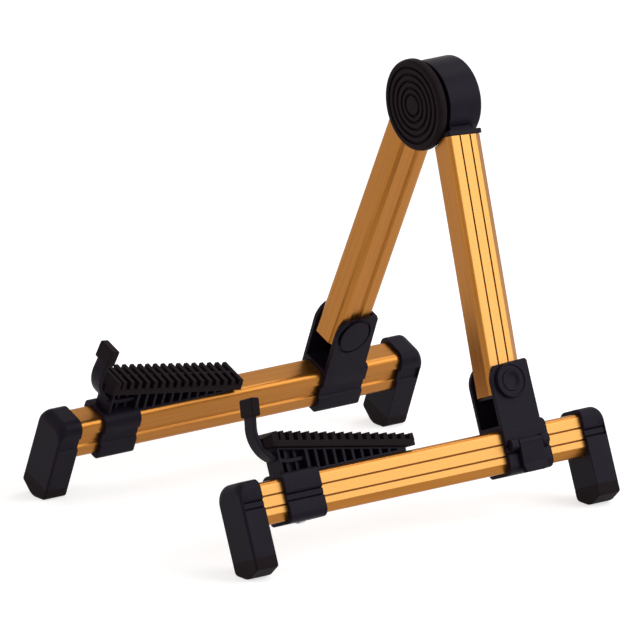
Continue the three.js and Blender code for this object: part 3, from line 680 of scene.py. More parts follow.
# Soles. A rubber block plugs into each leg. Its underside is a blunt V, so
# that one side lies flat on the floor although the leg leans.
sole_side_height = 0.0086
sole_radii = {"inner": 0.0045, "keel": 0.0120, "outer": 0.0024}
joint_gap = 0.00002
plug_inset = leg_wall + slip_gap

for end, sole_rounds in (
        ("front", (foot_edge_round, foot_rim_round)), ("rear", (foot_rim_round, foot_edge_round))):
    foot_low, foot_high = drawn_box(f"right_{end}_foot")
    sole_low, sole_high = drawn_box(f"right_{end}_sole")
    sole_side = foot_low.z - sole_side_height
    sole = bar(rounded([
        (sole_low.x, foot_low.z + foot_trim, 0),
        (sole_low.x, sole_side, sole_radii["inner"]),
        (rail_low.x + tube_size[0] / 2, sole_low.z, sole_radii["keel"]),
        (sole_high.x, sole_side, sole_radii["outer"]),
        (sole_high.x, foot_low.z + foot_trim, 0),
    ], steps=8), foot_low.y, foot_high.y, along_y, *sole_rounds)
    above = block(
        (sole_low.x - overrun, sole_low.y - overrun, foot_low.z - joint_gap),
        (sole_high.x + overrun, sole_high.y + overrun, foot_low.z + trim_reach))
    sole_plug = block(
        (foot_low.x + plug_inset, foot_low.y + plug_inset, foot_low.z - overrun * 2),
        (foot_high.x - plug_inset, foot_high.y - plug_inset, foot_low.z + plug_height))
    combine(sole, "DIFFERENCE", above)
    combine(sole, "UNION", sole_plug)
    finish_both(sole, f"{end}_sole_block", "rail", f"{end}_sole", (rubber,))

# Brackets. A nylon sleeve slides on each rail, and its two cheeks hold the
# upright between them on a pin. A stop between their rear edges bears the
# upright, and ribs stiffen the wall below it.
bracket_low, bracket_high = drawn_box("right_bracket")
cap_low, cap_high = drawn_box("right_outer_cap")
cap_radius = (cap_high.y - cap_low.y) / 2
cheek_wall = 0.0033
cheek_outer = cap_low.x - slip_gap
cheek_radius = pin_place.y - bracket_low.y
cheek_front_drop = 0.0012
cheek_rear_bevel = 0.0016
cheek_sink = 0.0006
cheek_edge = 0.0004
bracket_rear = bracket_high.y - 0.0038
sleeve_top = rail_top + 0.0033
sleeve_inner_round = 0.004
sleeve_outer_rounds = (0.0065, 0.0050)


def sleeve_bar(inner, outer, low, high, start, end, high_inner_round):
    low_outer_round, high_outer_round = sleeve_outer_rounds
    sleeve = bar(rounded([
        (inner, low, sleeve_inner_round),
        (outer, low, low_outer_round),
        (outer, high, high_outer_round),
        (inner, high, high_inner_round),
    ], steps=10), start, end, along_y, foot_rim_round, foot_rim_round)
    return combine(
        sleeve, "DIFFERENCE",
        strip_cut(outer, start - overrun, end + overrun),
        sunk_cut(inner, start - overrun, end + overrun))


# A cheek is round at the front about the pin, and upright at the rear
def cheek(start, end, arc_steps=12):
    top = bracket_high.z
    last = math.asin((top - cheek_front_drop - pin_place.z) / cheek_radius)
    arc = [
        (pin_place.y - cheek_radius * math.cos(last * step / arc_steps),
         pin_place.z + cheek_radius * math.sin(last * step / arc_steps), 0)
        for step in range(arc_steps, 0, -1)]
    return bar(rounded([
        (bracket_low.y, rail_top - cheek_sink, 0),
        (bracket_rear, rail_top - cheek_sink, 0),
        (bracket_rear, top - cheek_rear_bevel, 0),
        (bracket_rear - cheek_rear_bevel, top, 0),
        *arc,
        (bracket_low.y, pin_place.z, 0),
    ]), start, end, along_x, cheek_edge, cheek_edge, 2)


# A leaning plate between the cheeks bears the upright
stop_front = tube_front + slip_gap
stop_rear = 0.0200
stop_levels = (0.0093, 0.0170)
stop_corner = 0.0004
stop_top = bracket_high.z - 0.0006
stop = moved(bar(rounded([
    (stop_front, stop_levels[0], stop_corner), (stop_rear, stop_levels[0], 0),
    (stop_rear, stop_levels[1], 0), (stop_front, stop_levels[1], stop_corner)]),
    bracket_low.x + cheek_wall / 2, cheek_outer - cheek_wall / 2, along_x), lean_place)
stop_bounds = block(
    (bracket_low.x, bracket_low.y, sleeve_top), (cheek_outer, bracket_rear, stop_top))
combine(stop, "INTERSECT", stop_bounds)

# The wall below the stop joins the cheeks at the rear
web_thickness = 0.0026
web_setback = 0.0001
web_drop = 0.0122
web_low = (bracket_low.x + cheek_wall / 2, bracket_rear - web_thickness, rail_top + slip_gap)
web_high = (cheek_outer - cheek_wall / 2, bracket_rear - web_setback, pin_place.z - web_drop)

# Two ears on the outer cheek hold the clamp lever's pin
lever_low, lever_high = drawn_box("right_clamp_lever")
ear_width = 0.0066
ear_low = lever_place.z - 0.0045
ear_high = lever_place.z + 0.0037
ear_outer = cheek_outer + 0.0041
ear_bevel = 0.0015
ear_side_round = 0.0006
ears = []
for ear_start in (lever_low.y - slip_gap - ear_width, lever_high.y + slip_gap):
    ears.append(bar(rounded([
        (cheek_outer - cheek_wall / 2, ear_low, 0),
        (cheek_outer + ear_bevel, ear_low, 0.0008),
        (ear_outer, ear_low + ear_bevel, 0.0020),
        (ear_outer, ear_high, 0.0030),
        (cheek_outer - cheek_wall / 2, ear_high, 0),
    ]), ear_start, ear_start + ear_width, along_y, ear_side_round, ear_side_round))


# A row of like bars, made with Geometry Nodes: each is a rounded trapezoid
# drawn out sideways, and their height changes evenly along the row
def bar_row_nodes(name, material, corner_steps=3):
    tree = bpy.data.node_groups.new(name, "GeometryNodeTree")
    wanted = (
        ("Count", "NodeSocketInt"), ("First", "NodeSocketVector"), ("Pitch", "NodeSocketVector"),
        ("Base width", "NodeSocketFloat"), ("Top width", "NodeSocketFloat"),
        ("Height", "NodeSocketFloat"), ("Height change", "NodeSocketFloat"),
        ("Length", "NodeSocketFloat"), ("Corner radius", "NodeSocketFloat"))
    for label, kind in wanted:
        tree.interface.new_socket(label, in_out="INPUT", socket_type=kind)
    tree.interface.new_socket("Bars", in_out="OUTPUT", socket_type="NodeSocketGeometry")
    given = add_node(tree, "NodeGroupInput").outputs
    profile = add_node(tree, "GeometryNodeCurvePrimitiveQuadrilateral", {
        "Height": given["Height"], "Bottom Width": given["Base width"],
        "Top Width": given["Top width"], "Offset": 0.0}, mode="TRAPEZOID")
    softened = add_node(tree, "GeometryNodeFilletCurve", {
        "Curve": profile.outputs[0], "Count": corner_steps, "Radius": given["Corner radius"]}, mode="POLY")
    filled = add_node(tree, "GeometryNodeFillCurve", {"Curve": softened.outputs[0]}, mode="NGONS")
    drawn_out = add_node(tree, "GeometryNodeExtrudeMesh", {
        "Mesh": filled.outputs[0], "Offset Scale": given["Length"], "Individual": False}, mode="FACES")
    base = add_node(tree, "GeometryNodeFlipFaces", {"Mesh": filled.outputs[0]})
    joined = add_node(tree, "GeometryNodeJoinGeometry")
    tree.links.new(drawn_out.outputs[0], joined.inputs[0])
    tree.links.new(base.outputs[0], joined.inputs[0])
    closed = add_node(tree, "GeometryNodeMergeByDistance", {
        "Geometry": joined.outputs[0], "Distance": 1e-6})
    half_height = add_node(tree, "ShaderNodeMath", {
        0: given["Height"], 1: 0.5}, operation="MULTIPLY").outputs[0]
    half_length = add_node(tree, "ShaderNodeMath", {
        0: given["Length"], 1: -0.5}, operation="MULTIPLY").outputs[0]
    lift = add_node(tree, "ShaderNodeCombineXYZ", {"X": half_length, "Z": half_height})
    stood = add_node(tree, "GeometryNodeTransform", {
        "Geometry": closed.outputs[0], "Translation": lift.outputs[0],
        "Rotation": (math.pi / 2, 0, math.pi / 2)})
    line = add_node(tree, "GeometryNodeMeshLine", {
        "Count": given["Count"], "Start Location": given["First"], "Offset": given["Pitch"]})
    index = add_node(tree, "GeometryNodeInputIndex").outputs[0]
    change = add_node(tree, "ShaderNodeMath", {
        0: index, 1: given["Height change"], 2: 1.0}, operation="MULTIPLY_ADD").outputs[0]
    scale = add_node(tree, "ShaderNodeCombineXYZ", {"X": 1.0, "Y": 1.0, "Z": change}).outputs[0]
    placed = add_node(tree, "GeometryNodeInstanceOnPoints", {
        "Points": line.outputs[0], "Instance": stood.outputs[0], "Scale": scale})
    real = add_node(tree, "GeometryNodeRealizeInstances", {"Geometry": placed.outputs[0]})
    coated = add_node(tree, "GeometryNodeSetMaterial", {
        "Geometry": real.outputs[0], "Material": material})
    output = add_node(tree, "NodeGroupOutput")
    tree.links.new(coated.outputs[0], output.inputs[0])
    return tree


def grown(tree, **sizes):
    shape = new_shape(tree.name, lambda builder: None)
    growth = shape.modifiers.new(tree.name, "NODES")
    growth.node_group = tree
    for item in tree.interface.items_tree:
        label = item.name.replace(" ", "_").lower()
        if item.in_out == "INPUT" and label in sizes:
            growth[item.identifier] = sizes[label]
    settle(shape)
    shape.data.materials.clear()
    return shape


nylon_bars = bar_row_nodes("nylon_bars", nylon)
rubber_bars = bar_row_nodes("rubber_bars", rubber)

bracket_rib_count = 5
bracket_rib_pitch = 0.0042
bracket_rib_width = 0.0030
bracket_rib_depth = 0.0014
bracket = sleeve_bar(
    bracket_low.x, cheek_outer, bracket_low.z, sleeve_top,
    bracket_low.y, bracket_high.y, sleeve_inner_round)
ribs = grown(
    nylon_bars, count=bracket_rib_count, pitch=(0, 0, bracket_rib_pitch),
    base_width=bracket_rib_width, top_width=bracket_rib_width,
    first=(rail_low.x + tube_size[0] / 2, bracket_rear - 0.0032, rail_top + 0.0035),
    height=bracket_rib_depth, height_change=0.0,
    length=cheek_outer - bracket_low.x - cheek_wall, corner_radius=0.0004)
combine(
    bracket, "UNION", cheek(bracket_low.x, bracket_low.x + cheek_wall),
    cheek(cheek_outer - cheek_wall, cheek_outer), stop, block(web_low, web_high), ribs, *ears)

# The pin's hole, and a sunk ring in the inner cheek round the inner cap
pin_hole_radius = 0.0043
sunk_ring_radii = (cap_radius - 0.0006, cap_radius + 0.0019)
sunk_ring_depth = 0.0012
knuckle_space_radius = 0.0033


def pin_disc(radius, start, end):
    return moved(
        disc(radius, start, end, along_x, 72), Matrix.Translation((0, pin_place.y, pin_place.z)))


sunk_ring = combine(
    pin_disc(sunk_ring_radii[1], bracket_low.x - overrun, bracket_low.x + sunk_ring_depth), "DIFFERENCE",
    pin_disc(sunk_ring_radii[0], bracket_low.x - overrun * 2, bracket_low.x + overrun * 2))
knuckle_space = moved(
    disc(knuckle_space_radius, lever_low.y - slip_gap, lever_high.y + slip_gap, along_y, 48),
    Matrix.Translation((lever_place.x, 0, lever_place.z)))
combine(
    bracket, "DIFFERENCE", rail_space(bracket_low.y - overrun, bracket_high.y + overrun),
    pin_disc(pin_hole_radius, bracket_low.x - overrun, cheek_outer + overrun), sunk_ring, knuckle_space)
finish_both(bracket, "bracket_body", "bracket", "bracket", (nylon,))


# Pin caps. A turned nylon cap is pressed over each end of the pivot pin. The
# outer one has a raised rim, a plain sunk ring and a dished middle.
def turned(profile, place, steps=96):
    def build(builder):
        rings = []
        for radius, along in profile:
            count = 1 if radius == 0 else steps
            rings.append([
                builder.verts.new(place @ Vector((
                    radius * math.cos(math.tau * i / steps), radius * math.sin(math.tau * i / steps), along)))
                for i in range(count)])
        for lower, upper in zip(rings, rings[1:]):
            for i in range(steps):
                corners = [
                    lower[(i - 1) % len(lower)], lower[i % len(lower)],
                    upper[i % len(upper)], upper[(i - 1) % len(upper)]]
                builder.faces.new(list(dict.fromkeys(corners)))

    return new_shape("turned", build)


# A turned piece's profile, its corners rounded: each is (radius, along, round)
def turned_profile(corners, steps=5):
    return [tuple(point) for point in rounded(corners, steps)]


at_pin = Matrix.Translation((0, pin_place.y, pin_place.z)) @ along_x
cap_edge_round = 0.0009
cap_ring_depth = 0.0009
cap_dish_depth = 0.0015
cap_face = cap_high.x
outer_cap = turned(turned_profile([
    (0, cap_low.x, 0),
    (cap_radius, cap_low.x, 0.0003),
    (cap_radius, cap_face, cap_edge_round),
    (cap_radius - 0.0014, cap_face, 0.0003),
    (cap_radius - 0.0018, cap_face - cap_ring_depth, 0.0002),
    (cap_radius - 0.0048, cap_face - cap_ring_depth, 0.0002),
    (cap_radius - 0.0052, cap_face - 0.0001, 0.0003),
    (cap_radius - 0.0063, cap_face - 0.0002, 0.0004),
    (0.0040, cap_face - 0.0013, 0.0060),
    (0, cap_face - cap_dish_depth, 0),
]), at_pin)
inner_low, inner_high = drawn_box("right_inner_cap")
inner_cap_radius = cap_radius - slip_gap
inner_cap_seat = inner_high.x + 0.0002
inner_cap = turned(turned_profile([
    (0, inner_low.x, 0),
    (inner_cap_radius, inner_low.x, cap_edge_round),
    (inner_cap_radius, inner_cap_seat, 0),
    (0, inner_cap_seat, 0),
]), at_pin)
finish_both(outer_cap, "pin_cap_outer", "bracket", "outer_cap", (nylon,))
finish_both(inner_cap, "pin_cap_inner", "bracket", "inner_cap", (nylon,))

# Clamp levers. A nylon flap hangs from a steel pin between the bracket's two
# ears. Pressed down, it tightens the sleeve on the rail. Its lower edge turns
# out as a finger lip, rounded at its front corner and bevelled at the rear.
knuckle_radius = 0.0029
flap_inner = lever_place.x - 0.0012
flap_outer = lever_place.x + 0.0014
lip_height = 0.0022
lip_round = 0.0010
flap_side_round = 0.0006
front_corner_radius = 0.0030
rear_bevel = (0.0045, 0.0048)
knuckle = moved(
    disc(knuckle_radius, lever_low.y, lever_high.y, along_y, 48, 0.0004, 0.0004),
    Matrix.Translation((lever_place.x, 0, lever_place.z)))
flap = bar(rounded([
    (flap_inner, lever_low.z, 0.0008),
    (lever_high.x, lever_low.z, lip_round),
    (lever_high.x, lever_low.z + lip_height, lip_round),
    (flap_outer + 0.0002, lever_low.z + 0.0055, 0.0040),
    (lever_place.x + knuckle_radius * 0.93, lever_place.z - 0.0010, 0.0008),
    (flap_inner, lever_place.z, 0),
]), lever_low.y, lever_high.y, along_y, flap_side_round, flap_side_round)
flap_side = bar(rounded([
    (lever_low.y - overrun, lever_high.z + overrun, 0),
    (lever_low.y - overrun, lever_low.z - overrun, front_corner_radius),
    (lever_high.y - rear_bevel[0], lever_low.z - overrun, lip_round),
    (lever_high.y + overrun, lever_low.z + rear_bevel[1], lip_round),
    (lever_high.y + overrun, lever_high.z + overrun, 0),
]), flap_inner - cut_margin, lever_high.x + cut_margin, along_x)
combine(flap, "INTERSECT", flap_side)
combine(flap, "UNION", knuckle)
finish_both(flap, "clamp_flap", "lever", "clamp_lever", (nylon,))

# Hub. Nylon heads close the tops of the uprights: a thick drum on the right
# one and a flat disc in front of it on the left one. They turn on one bolt.
# Each has a collar round the tube's end, a saddle above it and a plug inside.
pad_low, pad_high = drawn_box("hub_pad")
drum_high = drawn_box("drum_head")[1]
carrier_radius = 0.0327
carrier_front = pad_low.y + 0.0046
carrier_rear = pad_high.y
carrier_step = 0.0024
drum_radius = 0.0315
drum_front = carrier_rear + 0.0026
drum_dish_depth = 0.0006
hub_bolt_radius = 0.0043
bolt_head_recess_radius = 0.0077
bolt_head_recess_depth = 0.0034
nut_recess_radius = 0.0105
nut_recess_depth = 0.0086
hub_steps = 128
head_plug_length = 0.026
neck_proud = 0.0004
collar_front = tube_front + slip_gap
collar_height = 0.0040
collar_radii = (0.0040, 0.0030)
plug_overlap = 0.0020
saddle_height = 0.0075
saddle_round = 0.0010
saddle_front = 0.0035 - tube_front
saddle_rear = tube_front - 0.0070


def hub_disc(radius, start, end, start_round=0.0, end_round=0.0):
    return disc(radius, start, end, along_y, 96, start_round, end_round)


def head_neck():
    inner = rail_low.x - neck_proud
    outer = rail_high.x + neck_proud
    inner_radius, outer_radius = collar_radii
    collar = moved(bar(rounded([
        (inner, -collar_front, inner_radius), (outer, -collar_front, outer_radius),
        (outer, collar_front, outer_radius), (inner, collar_front, inner_radius)]),
        upright_high + slip_gap, upright_high + collar_height,
        Matrix.Identity(4), 0.0003, 0.0008), lean_place)
    saddle = moved(bar(rounded([
        (inner + 0.0020, upright_high + 0.0010, 0),
        (outer - neck_proud, upright_high + 0.0014, 0.0008),
        (outer - 0.0046, upright_high + saddle_height, saddle_round),
        (inner + 0.0040, upright_high + saddle_height, saddle_round)]),
        saddle_front, saddle_rear, along_y, 0.0007, 0.0007), lean_place)
    plug = moved(
        bar(inset(tube_bore(), slip_gap),
            upright_high - head_plug_length, upright_high + plug_overlap, along_y),
        upright_place)
    return combine(collar, "UNION", saddle, plug)


drum = turned(turned_profile([
    (0, drum_front, 0),
    (drum_radius, drum_front, 0.0007),
    (drum_radius, drum_high.y, 0.0030),
    (nut_recess_radius + 0.0050, drum_high.y, 0.0004),
    (nut_recess_radius + 0.0045, drum_high.y - drum_dish_depth, 0.0002),
    (0, drum_high.y - drum_dish_depth, 0),
]), along_y, hub_steps)
right_neck = combine(
    head_neck(), "DIFFERENCE", hub_disc(hub_notch_radius, hub_notch_front, drum_front))
combine(drum, "UNION", right_neck)
combine(
    drum, "DIFFERENCE", hub_disc(hub_bolt_radius, drum_front - overrun, drum_high.y + overrun),
    hub_disc(nut_recess_radius, drum_high.y - nut_recess_depth, drum_high.y + overrun))
finish(drum, "right_hub_drum", "right", "right_upright", ["drum_head"], (nylon,))

# The disc is stepped in at its rear, which leaves a gap in front of the drum
carrier = combine(
    hub_disc(carrier_radius, carrier_front, carrier_rear - carrier_step - slip_gap, 0.0003, 0.0003), "UNION",
    hub_disc(carrier_radius - 0.0040, carrier_front + overrun, carrier_rear))
left_neck = combine(
    head_neck(), "DIFFERENCE",
    hub_disc(drum_radius + 0.0005, carrier_rear, hub_notch_rear),
    hub_disc(hub_notch_radius, hub_notch_front, carrier_front))
combine(carrier, "UNION", left_neck)
combine(
    carrier, "DIFFERENCE", hub_disc(hub_bolt_radius, carrier_front - overrun, carrier_rear + overrun),
    hub_disc(bolt_head_recess_radius, carrier_front - overrun, carrier_front + bolt_head_recess_depth))
finish(carrier, "left_hub_disc", "left", "left_upright", ["carrier_head"], (nylon,))
drop(drum, carrier)

# A nylon cover is pressed into the nut's recess at the rear
cover_low, cover_high = drawn_box("hub_rear_cap")
cover_radius = (cover_high.x - cover_low.x) / 2
cover_seat = drum_high.y - 0.0003
hub_cover = turned(turned_profile([
    (0, cover_low.y, 0),
    (nut_recess_radius - slip_gap, cover_low.y, 0),
    (nut_recess_radius - slip_gap, cover_seat, 0),
    (cover_radius, cover_seat, 0.0002),
    (cover_radius, cover_high.y, 0.0012),
    (cover_radius - 0.0030, cover_high.y, 0.0004),
    (cover_radius - 0.0038, cover_high.y - 0.0006, 0.0004),
    (0, cover_high.y - 0.0004, 0),
]), along_y)
finish(hub_cover, "hub_rear_cover", "right", "right_upright", ["hub_rear_cap"], (nylon,))
drop(hub_cover)

# Hub pad. A thick rubber cap covers the front disc, so that the guitar's back
# leans on rubber. Rings are cut in its face, whose edge is softened, and its
# skirt is open below where the left upright's neck passes.
pad_radius = (pad_high.x - pad_low.x) / 2
pad_face = pad_low.y
skirt_end = carrier_rear - carrier_step
ring_radii = (0.0081, 0.0128, 0.0180, 0.0231, 0.0283)
ring_half_width = 0.0011
ring_depth = 0.0020
neck_room = (0.0019, 0.0011)
neck_gap_radius = 0.0030
neck_gap_top = 0.0079
face_corners = [(0, pad_face, 0)]
for radius in ring_radii:
    face_corners += [
        (radius - ring_half_width, pad_face, 0.0003),
        (radius - ring_half_width * 0.5, pad_face + ring_depth, 0.0002),
        (radius + ring_half_width * 0.5, pad_face + ring_depth, 0.0002),
        (radius + ring_half_width, pad_face, 0.0003),
    ]
hub_pad = turned(turned_profile([
    *face_corners,
    (pad_radius - 0.0022, pad_face + 0.0001, 0.0010),
    (pad_radius - 0.0004, pad_face + 0.0014, 0.0014),
    (pad_radius, pad_face + 0.0036, 0.0020),
    (pad_radius, skirt_end, 0.0011),
    (carrier_radius + slip_gap, skirt_end, 0),
    (carrier_radius + slip_gap, carrier_front - slip_gap, 0),
    (0, carrier_front - slip_gap, 0),
], 3), along_y, hub_steps)
gap_inner = rail_low.x - neck_room[0]
gap_outer = rail_high.x + neck_room[0]
gap_front = tube_front + neck_room[1]
neck_gap = moved(bar(rounded([
    (gap_inner, -gap_front, neck_gap_radius), (gap_outer, -gap_front, neck_gap_radius),
    (gap_outer, gap_front, neck_gap_radius), (gap_inner, gap_front, neck_gap_radius)]),
    upright_high - head_plug_length, upright_high + neck_gap_top, Matrix.Identity(4)), lean_place)
combine(neck_gap, "DIFFERENCE", hub_disc(pad_radius + overrun, hub_notch_front, carrier_front - slip_gap))
combine(hub_pad, "DIFFERENCE", neck_gap)
finish(hub_pad, "hub_pad_disc", "left", "left_upright", ["hub_pad"], (rubber,))
drop(hub_pad)


# Hub bolt, washer and nut, pivot pins, lever pins and end plugs. They are
# plain bright steel or black nylon inside the joints, and keep their solids.
def bright_steel(name):
    material, tree, shader = new_material(name)
    places = add_node(tree, "ShaderNodeTexCoord").outputs["Object"]
    brushed = noise(tree, places, 900.0, 3.0)
    tree.links.new(
        blend_colours(tree, spread(tree, brushed, 0.0, 1.0), (0.48, 0.49, 0.51), (0.62, 0.63, 0.65)),
        shader.inputs["Base Color"])
    tree.links.new(spread(tree, brushed, 0.24, 0.36), shader.inputs["Roughness"])
    shader.inputs["Metallic"].default_value = 1.0
    add_bump(tree, shader, brushed, 0.00003, 0.3)
    return material


def plug_nylon(name):
    material, tree, shader = new_material(name)
    places = add_node(tree, "ShaderNodeTexCoord").outputs["Object"]
    grain = noise(tree, places, 1800.0, 2.0)
    tree.links.new(
        blend_colours(tree, spread(tree, grain, 0.0, 1.0), (0.010, 0.009, 0.012), (0.016, 0.014, 0.019)),
        shader.inputs["Base Color"])
    shader.inputs["Roughness"].default_value = 0.5
    shader.inputs["Specular IOR Level"].default_value = 0.3
    add_bump(tree, shader, grain, 0.00004, 0.3)
    return material


def coat_node(node, material):
    kept = frame["nodes"][node]
    kept.data.materials.clear()
    kept.data.materials.append(material)


steel = bright_steel("bright_steel")
hidden_nylon = plug_nylon("plug_nylon")
for node in ("hub_bolt", "hub_washer", "hub_nut"):
    coat_node(node, steel)
for side in sides:
    coat_node(f"{side}_pivot_pin", steel)
    coat_node(f"{side}_lever_pin", steel)
    coat_node(f"{side}_end_plug", hidden_nylon)


# Screws. One pan-headed steel screw holds each head in its tube from behind,
# and one holds each cradle's sleeve from below. The head is cross-slotted.
screw_head_radius = 0.0036
screw_head_height = 0.0011
screw_shank_radius = 0.0014
screw_shank_length = 0.0085
screw_slot_half = (0.0019, 0.0004)
head_screw_drop = 0.012


def make_screw():
    screw = turned(turned_profile([
        (0, -screw_shank_length, 0),
        (screw_shank_radius, -screw_shank_length, 0.0003),
        (screw_shank_radius, 0, 0),
        (screw_head_radius, 0, 0.0002),
        (screw_head_radius, screw_head_height * 0.6, 0.0008),
        (screw_head_radius * 0.5, screw_head_height, 0.0010),
        (0, screw_head_height, 0),
    ]), Matrix.Identity(4), 48)
    slots = [block((-across, -along, screw_head_height * 0.4), (across, along, screw_head_height * 2))
             for across, along in (screw_slot_half, reversed(screw_slot_half))]
    return combine(screw, "DIFFERENCE", *slots)


screw_x = rail_low.x + tube_size[0] / 2
cradle_low, cradle_high = drawn_box("right_cradle")
under_low, under_high = drawn_box("right_cradle_screw")
head_screw_place = (
    lean_place @ Matrix.Translation((screw_x, tube_front + slip_gap, upright_high - head_screw_drop))
    @ Matrix.Rotation(-math.pi / 2, 4, "X"))
under_place = (
    Matrix.Translation((screw_x, (under_low.y + under_high.y) / 2, cradle_low.z - slip_gap))
    @ Matrix.Rotation(math.pi, 4, "X"))
finish_both(make_screw(), "head_pan_screw", "upright", "head_screw", (steel,), head_screw_place)
finish_both(make_screw(), "cradle_pan_screw", "rail", "cradle_screw", (steel,), under_place)

# Cradles. A nylon sleeve near each rail's front carries a long ribbed wedge
# and a hook that curves up in front of it. It is moulded in one piece.
sleeve_front = -0.1265
sleeve_rear = -0.0935
wedge_setback = 0.0046
wedge_front = sleeve_front + wedge_setback
wedge_tail = cradle_high.y
wedge_floor = rail_top + joint_gap
wedge_half_width = 0.0085
wedge_wall = 0.0018
web_half_width = 0.0015
rib_pitch = 0.0081
rib_width = 0.0022
rib_height = 0.0300
front_rib_count = 2
front_rib_half_width = 0.0047
stem_level = rail_top + 0.0110
stem_rear = wedge_front + wedge_wall / 2 + rib_pitch * 3
stem_post_half = 0.0014
hook_thickness = 0.0034
hook_half_width = 0.0060
hook_y = sleeve_front - 0.0081
hook_bend = 0.0250
hook_lean = math.radians(9.65)
hook_knee = Vector((hook_y, rail_top + 0.0315))
hook_end = Vector((hook_y + 0.0042, rail_top + 0.0590))
hook_up = (hook_end - hook_knee).normalized()
pad_strip_low, pad_strip_high = drawn_box("right_cradle_pad")
strip_front = pad_strip_low.y
strip_rear = pad_strip_high.y
under_front = rail_top + 0.0242
under_rear = pad_strip_low.z


# The level of the pad's underside, which slopes down to the rear
def under_strip(y):
    return under_front + (under_rear - under_front) * (y - strip_front) / (strip_rear - strip_front)


# Two places across the cradle, measured from the middle of the rail
def sideways(low, high):
    return screw_x + low, screw_x + high


wedge_outline = [Vector(point) for point in (
    (wedge_front, wedge_floor),
    (wedge_tail, wedge_floor),
    (wedge_tail, under_strip(wedge_tail) - slip_gap),
    (wedge_front, under_strip(wedge_front) - slip_gap))]
pocket_front = wedge_front + wedge_wall
pocket_tail = wedge_tail - wedge_wall * 4
pocket_outline = [Vector(point) for point in (
    (pocket_front, wedge_floor + wedge_wall),
    (pocket_tail, wedge_floor + wedge_wall),
    (pocket_tail, under_strip(pocket_tail) - wedge_wall),
    (pocket_front, under_strip(wedge_front) - slip_gap - wedge_wall))]
cradle = bar(wedge_outline, *sideways(-wedge_half_width, wedge_half_width), along_x, 0.0003, 0.0003, 2)


# The outline of a strip of even thickness along a path
def strip_along(points, thickness):
    near, far = [], []
    for place, point in enumerate(points):
        before = points[max(place - 1, 0)]
        after = points[min(place + 1, len(points) - 1)]
        heading = (after - before).normalized()
        aside = Vector((-heading.y, heading.x)) * thickness / 2
        near.append(point + aside)
        far.append(point - aside)
    return near + far[::-1]


# The hook's strip runs forward along the stem, round a bend and up
bend_steps = 24
hook_path = [Vector((stem_rear, stem_level))]
bend_centre = Vector((hook_y + hook_bend, stem_level + hook_bend))
for step in range(bend_steps + 1):
    angle = (math.pi / 2 + hook_lean) * step / bend_steps
    hook_path.append(bend_centre - Vector((math.sin(angle), math.cos(angle))) * hook_bend)
hook_path.append(hook_end)
hook = bar(
    strip_along(hook_path, hook_thickness), *sideways(-hook_half_width, hook_half_width),
    along_x, 0.0007, 0.0007)

# The pockets between the ribs are open at both sides, down to a middle web.
# Two narrower ribs stand in front, and a post carries the stem's rear end.
rib_count = int((wedge_tail - wedge_front) / rib_pitch)
rib_floor = wedge_floor - overrun
rib_sizes = dict(
    pitch=(0, rib_pitch, 0), base_width=rib_width, top_width=rib_width, height=rib_height,
    height_change=0.0, corner_radius=0.0002)
first_rib = wedge_front + wedge_wall / 2 + rib_pitch
front_ribs = grown(
    nylon_bars, count=front_rib_count, first=(screw_x, first_rib, rib_floor),
    length=front_rib_half_width * 2, **rib_sizes)
rib_row = grown(
    nylon_bars, count=rib_count - 3, first=(screw_x, first_rib + rib_pitch * 3, rib_floor),
    length=(wedge_half_width + overrun * 2) * 2, **rib_sizes)
stem_post = block(
    (screw_x - wedge_half_width * 2, stem_rear - stem_post_half, rib_floor),
    (screw_x + wedge_half_width * 2, stem_rear + stem_post_half, rail_top + rib_height))
pockets = combine(
    bar(pocket_outline, *sideways(web_half_width, wedge_half_width + overrun), along_x), "UNION",
    bar(pocket_outline, *sideways(-wedge_half_width - overrun, -web_half_width), along_x))
combine(pockets, "DIFFERENCE", front_ribs, rib_row, stem_post)
cradle_sleeve = sleeve_bar(
    foot_low.x, foot_high.x, cradle_low.z, sleeve_top, sleeve_front, sleeve_rear, foot_inner_round)
combine(cradle_sleeve, "DIFFERENCE", rail_space(sleeve_front - overrun, sleeve_rear + overrun))
combine(cradle, "DIFFERENCE", pockets)
combine(cradle, "UNION", hook, cradle_sleeve)
finish_both(cradle, "cradle_body", "rail", "cradle", (nylon,))

# Hook tips. A soft rubber block is pushed over the end of each hook, so that
# it can't mark the guitar's face.
tip_back = Vector((hook_up.y, -hook_up.x))
tip_half = 0.0037
tip_half_width = 0.0080
tip_top = 0.0026
tip_bottom = -0.0110
tip_low_round = 0.0012
tip_high_round = 0.0014
tip_side_round = 0.0009


# A corner of the block, by its distance behind the hook's end and above it
def tip_corner(aside, along, radius):
    return (*(hook_end + tip_back * aside + hook_up * along), radius)


tip = bar(rounded([
    tip_corner(-tip_half, tip_bottom, tip_low_round),
    tip_corner(tip_half, tip_bottom, tip_low_round),
    tip_corner(tip_half, tip_top, tip_high_round),
    tip_corner(-tip_half, tip_top, tip_high_round),
]), *sideways(-tip_half_width, tip_half_width), along_x, tip_side_round, tip_side_round)
tip_socket = bar(
    strip_along([hook_knee, hook_end + hook_up * slip_gap], hook_thickness + slip_gap * 2),
    *sideways(-hook_half_width - slip_gap, hook_half_width + slip_gap), along_x)
combine(tip, "DIFFERENCE", tip_socket)
finish_both(tip, "hook_cushion", "rail", "hook_tip", (rubber,))

